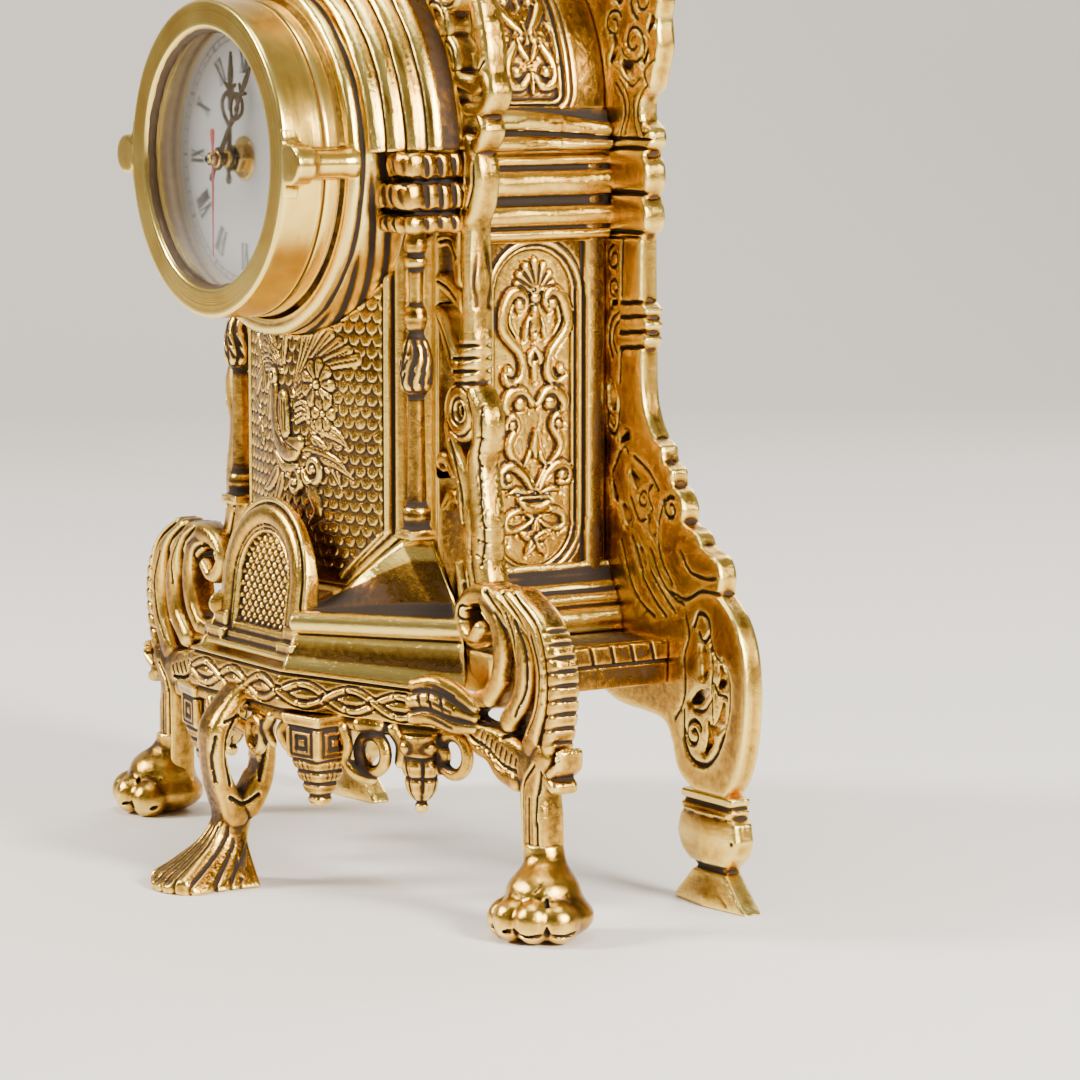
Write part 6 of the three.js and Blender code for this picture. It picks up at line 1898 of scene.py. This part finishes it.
def numeral_shapes():
    """Roman numerals that stand on the ring, each stroke and serif a shape of its own."""
    shapes = []
    height, foot = 9.2, 0.42
    for hour, text in enumerate(NUMERALS):
        out, across = directions(30 * hour)
        total = sum(STROKES[c][0] for c in text) * 1.55
        at = -total / 2
        for c in text:
            width, parts = STROKES[c]
            centre = at + width * 1.55 / 2
            at += width * 1.55
            for (x0, t0), (x1, t1), weight in parts:
                half = 0.62 * weight
                a0, a1 = centre + x0 * 1.5, centre + x1 * 1.5
                corners = [(a0 - half, t0), (a0 + half, t0), (a1 + half, t1), (a1 - half, t1)]
                shapes.append([tuple(across * u + out * (30.6 + t * height)) for u, t in corners])
            for t in (0, 1):
                reach = {"I": 1.05, "V": 2.0 if t else 0.5, "X": 2.0}[c]
                serif = oblong(centre - reach, -foot / 2, centre + reach, foot / 2)
                shapes.append([tuple(across * u + out * (30.6 + t * height + up)) for u, up in serif])
    return shapes


def ring_shapes(inner, outer, count=120):
    """A printed circle as short pieces."""
    shapes = []
    for k in range(count):
        a, b = 2 * math.pi * k / count, 2 * math.pi * (k + 1) / count
        shapes.append([(inner * math.sin(a), inner * math.cos(a)),
                       (outer * math.sin(a), outer * math.cos(a)),
                       (outer * math.sin(b), outer * math.cos(b)),
                       (inner * math.sin(b), inner * math.cos(b))])
    return shapes


def dial():
    """Paper dial with two minute circles, ticks and numerals."""
    profile = [(5.6, DIAL_FACE), (52.2, DIAL_FACE), (52.3, DIAL_FACE + 0.3), (52.2, -38.7), (5.6, -38.7)]
    points, faces, hollow = turned(profile, steps=120, gap=2.0, soft=0)
    piece("dial_plate", points, faces, None, PAPER, ["dial"], slot="dial_paper")
    shapes = ring_shapes(43.2, 43.55) + ring_shapes(45.6, 45.95)
    for minute in range(60):
        out, across = directions(6 * minute)
        half = 0.42 if minute % 5 == 0 else 0.17
        shapes.append([tuple(across * u + out * r) for u, r in oblong(-half, 43.3, half, 45.8)])
    flat_piece("dial_print", shapes + numeral_shapes(), DIAL_FACE - 0.05, DIAL_FACE - 0.005, INK)


HAND_STROKES = {        # a hand that points up, as tapering strokes of x, z and radius
    "hour": [[(0, -7.6, 1.7), (0, -4.5, 1.1), (0, 0, 4.4)], [(0, 4, 1.6), (0, 12, 1.2)],
             [(0, 11.5, 1.0), (-4.2, 15.5, 0.9), (-5.6, 20.0, 1.0), (-2.4, 23.4, 0.9), (0, 20.5, 0.8)],
             [(0, 11.5, 1.0), (4.2, 15.5, 0.9), (5.6, 20.0, 1.0), (2.4, 23.4, 0.9), (0, 20.5, 0.8)],
             [(0, 18, 1.0), (0, 26, 1.3)], [(-3.6, 26.6, 0.7), (0, 24.6, 1.1), (3.6, 26.6, 0.7)],
             [(0, 26, 1.2), (0, 30, 1.9), (0, 34, 1.2), (0, 38, 0.35)]],
    "minute": [[(0, -8.6, 1.5), (0, -4.5, 1.0), (0, 0, 4.2)], [(0, 4, 1.4), (0, 18, 1.0)],
             [(0, 17.5, 0.9), (-3.0, 20.5, 0.75), (-4.2, 24.6, 0.85), (-1.6, 27.6, 0.7), (0, 25, 0.7)],
             [(0, 17.5, 0.9), (3.0, 20.5, 0.75), (4.2, 24.6, 0.85), (1.6, 27.6, 0.7), (0, 25, 0.7)],
             [(0, 22, 0.8), (0, 31, 1.0)], [(-2.8, 31.2, 0.6), (0, 29.4, 0.9), (2.8, 31.2, 0.6)],
             [(0, 30, 1.0), (0, 35, 1.4), (0, 39, 0.8), (0, 43, 0.3)]]}


def hand(kind, face, thick, degrees, body):
    """An ornate hand turned clockwise from twelve, its back at face."""
    s = Sketch((-9.0, -12.0), (9.0, 46.0), 0.22)
    for rows in HAND_STROKES[kind]:
        s.bar(smooth(rows, 0.5), 0.35, k=0.4)
    s.cut(np.array([(0, 0, 2.7), (0, 0.2, 2.7)], float))
    points, faces, hollow = s.slab(thick, edge=0.25)
    u, v, w = points.T
    a = math.radians(degrees)
    x = u * math.cos(a) + v * math.sin(a)
    z = v * math.cos(a) - u * math.sin(a)
    place = np.column_stack([x, face - w, z + DIAL_HEIGHT])
    piece(f"{kind}_hand_ornate", place, faces, hollow, DARK_HAND, [f"{kind}_hand"], body, "dark_hands")


def hands():
    """Hour, minute and second hand, each on its own body."""
    hand("hour", -45.2, 0.6, 3.0, "hours")
    hand("minute", -49.5, 0.55, 36.0, "minutes")
    s = Sketch((-4.0, -12.0), (4.0, 37.0), 0.16)
    for rows in ([(0, -9.4, 1.5), (0, -6.0, 1.1), (0, -3, 0.55), (0, 0, 0.6)],
                 [(0, 0, 0.65), (0, 34.6, 0.3)], [(0, -0.2, 2.4), (0, 0.2, 2.4)]):
        s.bar(smooth(rows, 0.5), 0.15, k=0.3)
    points, faces, hollow = s.slab(0.35, edge=0.15)
    u, v, w = points.T
    piece("second_hand_slim", np.column_stack([-u, -51.95 - w, DIAL_HEIGHT - v]), faces, hollow, RED_HAND,
          ["second_hand"], "seconds", "red_hand")


def dial_fixings():
    """Washer, nut and the stepped brass shafts that carry the hands."""
    bosses = {"hour": [(2.2, -44.5), (3.4, -44.4), (3.4, -47.4), (2.9, -47.6), (2.2, -47.6)],
              "minute": [(1.3, -49.0), (3.2, -49.0), (3.3, -51.2), (2.6, -51.4), (1.3, -51.4)],
              "second": [(0.1, -51.9), (2.3, -52.0), (2.4, -53.4), (1.7, -54.2), (0.1, -54.3)]}
    for kind, profile in bosses.items():
        shape = turned(profile, steps=48, gap=0.3)
        piece(f"{kind}_boss", *shape, SMALL_BRASS, body=f"{kind}s", slot="polished_brass")
    washer = [(3.0, -40.2), (7.6, -40.2), (8.0, -39.9), (8.0, -39.35), (3.0, -39.35)]
    points, faces, hollow = turned(washer, steps=72, gap=0.4)
    piece("washer_turned", points, faces, None, SMALL_BRASS, ["dial_washer"], slot="polished_brass")
    nut = Block((-6.5, -46.0, -6.5), (6.5, -39.4, 6.5), 0.2)
    x, y, z = nut.grid()
    angle = np.arctan2(z, x)
    hexagon = np.hypot(x, z) * np.cos((angle % (math.pi / 3)) - math.pi / 6) - 4.8
    rounded = smooth_max(hexagon, np.hypot(x, z) - 5.35, 0.5)
    value = smooth_max(rounded, np.maximum(-44.0 - y, y + 40.25), 0.4)
    nut.field[:] = smooth_max(value, 3.1 - np.hypot(x, z), 0.2)
    points, faces, hollow = nut.mesh()
    place = points + [0, 0, DIAL_HEIGHT]
    piece("nut_hexagonal", place, faces, hollow, SMALL_BRASS, ["dial_nut"], slot="polished_brass")


# ---- Pendants, apron scrolls, crest, finial ----

def corner_pendant():
    """Square boss over a stepped, tapering drop, set on the corner of the band."""
    centre = np.array([41.0, -34.0])
    block = Block((-14.0, -14.0, 33.0), (14.0, 14.0, 69.0), 0.42)
    x, y, z = block.grid()
    levels = [(33.8, 1.2), (35.2, 3.2), (36.8, 3.8), (38.4, 3.2), (39.6, 4.6), (42.0, 5.4), (43.0, 4.8),
              (44.2, 6.2), (46.6, 7.0), (47.6, 6.4), (48.6, 7.6), (50.8, 8.4), (51.8, 7.8), (52.8, 8.8),
              (63.0, 9.0), (63.8, 8.2), (64.4, 9.6), (67.4, 10.2), (68.4, 10.2)]
    half = radius_at(z, levels)
    square = smooth_max(np.abs(x), np.abs(y), 1.6)
    shape = np.where(z > 51.8, square, 0.55 * square + 0.45 * np.hypot(x, y) * 0.93)
    block.field[:] = smooth_max(shape - half, np.maximum(34.0 - z, z - 68.2), 0.5)
    for face in ((0, -1), (1, 0), (-1, 0)):
        out = np.array(face, float)
        across = np.array([-out[1], out[0]])
        for size, width in ((5.6, 0.8), (2.5, 1.0)):
            corners = [*oblong(-size, -size, size, size), (-size, -size)]
            for (a0, b0), (a1, b1) in zip(corners[:-1], corners[1:]):
                p = out * 9.2 + across * a0
                q = out * 9.2 + across * a1
                block.tube([(*p, 58 + b0 * 0.82, width), (*q, 58 + b1 * 0.82, width)], 0.3, cut=True)
        for k in range(-2, 3):
            block.tube([(*(out * 8.6 + across * k * 2.7), 50.6, 0.4),
                        (*(out * 6.2 + across * k * 1.8), 43.6, 0.35)],
                       0.3, cut=True)
    points, faces, hollow = block.mesh()
    turn = math.atan2(11.4, 59.0)
    c, s = math.cos(turn), math.sin(turn)
    place = np.column_stack([points[:, 0] * c - points[:, 1] * s + centre[0],
                             points[:, 0] * s + points[:, 1] * c + centre[1], points[:, 2] - 0.6])
    pair("corner_pendant", place, faces, hollow, BRASS)


def drop_pendant():
    """Small drop with a leafy cap and a beaded end."""
    block = Block((60.0, -20.5, 31.5), (81.0, 0.0, 63.5), 0.42)
    x, y, z = block.grid()
    cx, cy = 70.5, -9.2
    levels = [(32.8, 0.8), (34.4, 2.6), (36.2, 2.8), (37.2, 1.8), (38.4, 3.2), (41.0, 5.2), (44.6, 6.2),
              (46.4, 5.6), (47.2, 6.6), (50.4, 7.6), (53.6, 7.0), (54.6, 7.9), (58.6, 8.2), (61.6, 8.2)]
    radius = radius_at(z, levels)
    turn = np.arctan2(y - cy, x - cx)
    lobe = np.where((z > 38) & (z < 53.6), 0.9 * np.abs(np.cos(turn * 3)) - 0.4, 0)
    r = np.hypot(x - cx, (y - cy) * 1.12)
    block.field[:] = smooth_max(r - radius - lobe, np.maximum(33.0 - z, z - 61.8), 0.5)
    for k in range(6):
        a = math.pi / 3 * (k + 0.5)
        d = np.array([math.cos(a), math.sin(a)])
        block.tube([(cx + 7.6 * d[0], cy + 6.8 * d[1], 52, 0.75),
                    (cx + 5.4 * d[0], cy + 4.6 * d[1], 41, 0.6)], 0.3, cut=True)
    block.ball((70.5, -15.6, 57.4), (3.0, 2.4, 2.6), k=0.6)
    block.ball((77.4, -9.6, 57.4), (2.4, 3.0, 2.6), k=0.6)
    pair("drop_pendant", *block.mesh(), BRASS)


def apron():
    """Pierced scrolls that hang below the band between the pendants."""
    block = Block((4.0, -50.0, 38.0), (95.0, 2.0, 68.0), 0.6)

    def strand(rows, k=0.9):
        block.tube(smooth(rows), k)

    strand([(57.2 + 6.6 * math.cos(a), -21.6 + 1.6 * math.cos(a), 54.0 + 6.6 * math.sin(a), 2.3)
            for a in np.linspace(0, 2 * math.pi, 14)])
    strand([(49.5, -29.5, 63.0, 2.4), (50.6, -28.2, 56.6, 2.2), (49.8, -28.4, 50.4, 2.0),
            (53.0, -25.6, 46.2, 2.2), (57.4, -21.8, 44.6, 1.8)])
    strand([(64.4, -17.0, 63.2, 2.6), (66.4, -15.0, 58.0, 2.4), (66.4, -15.4, 51.4, 2.2)])
    strand([(84.4 + 7.0 * math.cos(a), -4.2 + 1.4 * math.cos(a), 55.6 + 7.0 * math.sin(a), 2.3)
            for a in np.linspace(-2.2, 3.4, 14)])
    strand([(13.4 + 5.2 * math.cos(a), -44.6, 56.6 + 5.8 * math.sin(a), 1.9)
            for a in np.linspace(0, 2 * math.pi, 12)])
    strand([(54.6, -25.2, 64.4, 2.8), (60.4, -20.6, 64.0, 2.8)], 1.2)
    strand([(30.4, -39.6, 64.4, 2.6), (27.0, -41.4, 59.2, 2.4), (28.8, -39.4, 53.6, 2.0),
            (32.6, -37.2, 52.2, 1.6)])
    strand([(22.6, -43.2, 64.4, 2.2), (20.2, -43.8, 59.6, 2.0), (22.2, -42.4, 54.4, 1.5)])
    strand([(77.0, -7.0, 60.2, 2.6), (79.6, -5.0, 54.6, 2.4), (77.4, -6.2, 49.4, 2.0)])
    pair("apron_scroll", *block.mesh(), BRASS, nodes=False)
    joint = Block((70.0, -24.0, 60.0), (112.0, 3.0, 92.0), 0.65)
    for k, (z0, dy) in enumerate(((82.0, 0.0), (76.4, -1.6), (70.6, -1.0))):
        joint.tube(smooth([(74.0, -13.6 + dy, z0 - 2.0, 2.6), (82.0, -10.0 + dy, z0 - 0.6, 3.6),
                           (90.0, -6.4 + dy, z0 - 3.0, 3.2), (98.0, -3.8, z0 - 7.5 + 2 * k, 2.0)]), 0.8)
        joint.tube(smooth([(76.0, -16.6 + dy, z0 - 1.6, 0.6), (84.0, -13.4 + dy, z0 - 0.6, 0.7),
                           (92.0, -8.8 + dy, z0 - 4.0, 0.5)]), 0.4, cut=True)
    for k in range(5):
        x = 78 + 4.6 * k
        joint.tube(smooth([(x, -15.6 + 1.9 * k, 80.4 - 0.8 * k, 0.55),
                           (x + 2.0, -15.8 + 1.9 * k, 74.0 - 0.8 * k, 0.5)]),
                   0.3, cut=True)
    pair("leaf_join", *joint.mesh(), BRASS, nodes=False)


def crest():
    """Openwork crown over the arch, with a round eye between facing scrolls."""
    s = Sketch((-3.0, 338.0), (64.0, 404.0), 0.6)
    s.fill([(-6, 345), (10, 345), (26, 341), (40, 333), (52, 322), (58, 324), (58, 345), (50, 352),
            (40, 358), (34, 366), (30, 378), (20, 386), (14, 394), (9, 402), (-6, 402)], k=0.5)
    for rows, height in ((smooth([(56, 338, 4.4), (50, 348, 5.0), (40, 354, 4.6), (33, 362, 4.0)]), 2.2),
                         (volute((38, 366), 190, 1.2, 7.6, 2.4, 2.6, 1.8), 2.2),
                         (smooth([(31, 374, 3.4), (25, 382, 4.2), (16, 388, 4.2), (12, 396, 3.4),
                                  (6, 401, 3.0)]), 2.2),
                         (arc((0, 370), 12.4, -20, 100, 3.0), 2.4),
                         (smooth([(10, 384, 2.6), (4, 389, 3.0), (0, 394, 3.0)]), 2.0),
                         (smooth([(0, 347, 3.6), (12, 348.6, 3.6), (24, 344.8, 3.4), (36, 338, 3.2)]),
                          1.6),
                         (smooth([(13, 362, 2.4), (20, 358, 3.2), (27, 352, 2.6)]), 1.8)):
        s.bar(rows, height, k=1.0)
    s.groove(line((54, 340), (48, 349), (38, 355), width=0.7), 1.4)
    s.groove(line((28, 380), (19, 387), (13, 396), width=0.7), 1.4)
    s.cut(np.array([(0, 370, 9.2), (0, 370.2, 9.2)], float))
    s.cut(smooth([(22, 366, 2.6), (20.6, 374, 3.0), (17, 380, 2.0)]))
    s.cut(smooth([(38, 345.6, 1.4), (44, 341, 2.2)]))
    points, faces, hollow = s.slab(WING_THICK / 2 - 0.8, edge=1.1, two_sided=True)
    u, v, w = points.T
    floor_z = VAULT_SPRING + np.sqrt(np.clip(61.6 ** 2 - u ** 2, 0, None))
    z = np.maximum(v, np.where(np.abs(u) < 61.5, floor_z, v))
    place = np.column_stack([u, WING_FRONT + WING_THICK / 2 - tongue(u, w, 0.0), z])
    halves("crest_cast", place, faces, hollow, FILED, "crest")


def finial():
    """Small leafy bud."""
    block = Block((-10.5, -3.5, 401.0), (10.5, 17.0, 421.5), 0.4)
    x, y, z = block.grid()
    levels = [(402.2, 5.2), (404.0, 5.6), (405.2, 3.6), (406.6, 5.6), (410.0, 7.6), (413.0, 6.8),
              (416.6, 3.8), (418.8, 1.8), (420.2, 0.6)]
    radius = radius_at(z, levels)
    turn = np.arctan2(y - 6.75, x)
    lobe = np.where(z > 405.4, 0.8 * np.abs(np.cos(turn * 4)) - 0.4, 0)
    block.field[:] = smooth_max(np.hypot(x, y - 6.75) - radius - lobe, np.maximum(402.3 - z, z - 419.9),
                                0.4)
    piece("finial_cast", *block.mesh(), BRASS, ["finial"])


# ---- Movement and carried-over parts ----

CARRIED = [(STEEL, ["bezel_screw_right", "bezel_screw_left", "stator", "rotor",
                    "battery_contact_positive", "battery_contact_negative"]),
           (COPPER, ["coil"]), (BOARD, ["circuit_board"]), (CELL, ["battery"]),
           (BLACK_PLASTIC, ["movement_case", "movement_cover", "setting_knob"]),
           (NYLON, ["third_wheel", "centre_wheel", "step_wheel", "hour_wheel", "minute_wheel",
                    "seconds_wheel"]),
           (SMALL_BRASS, ["cannon_pinion"])]


def carried_over():
    """Working parts that stay as they are made, given their own finishes."""
    for material, names in CARRIED:
        for name in names:
            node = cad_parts[name]
            node.data.materials.clear()
            node.data.materials.append(material)


PARTS = [front_panel, arch_door, band_rail, plinth, rear_plate, rear_foot, side_wall, side_mouldings,
         vault, base_plate, wing, column, capital, front_leg, middle_leg, arch_moulding, collar, bezel,
         glue_line, glass, spacer_ring, dial, hands, dial_fixings, corner_pendant, drop_pendant, apron,
         crest, finial, carried_over]


# ---- The clock ----

for build in PARTS:
    build()
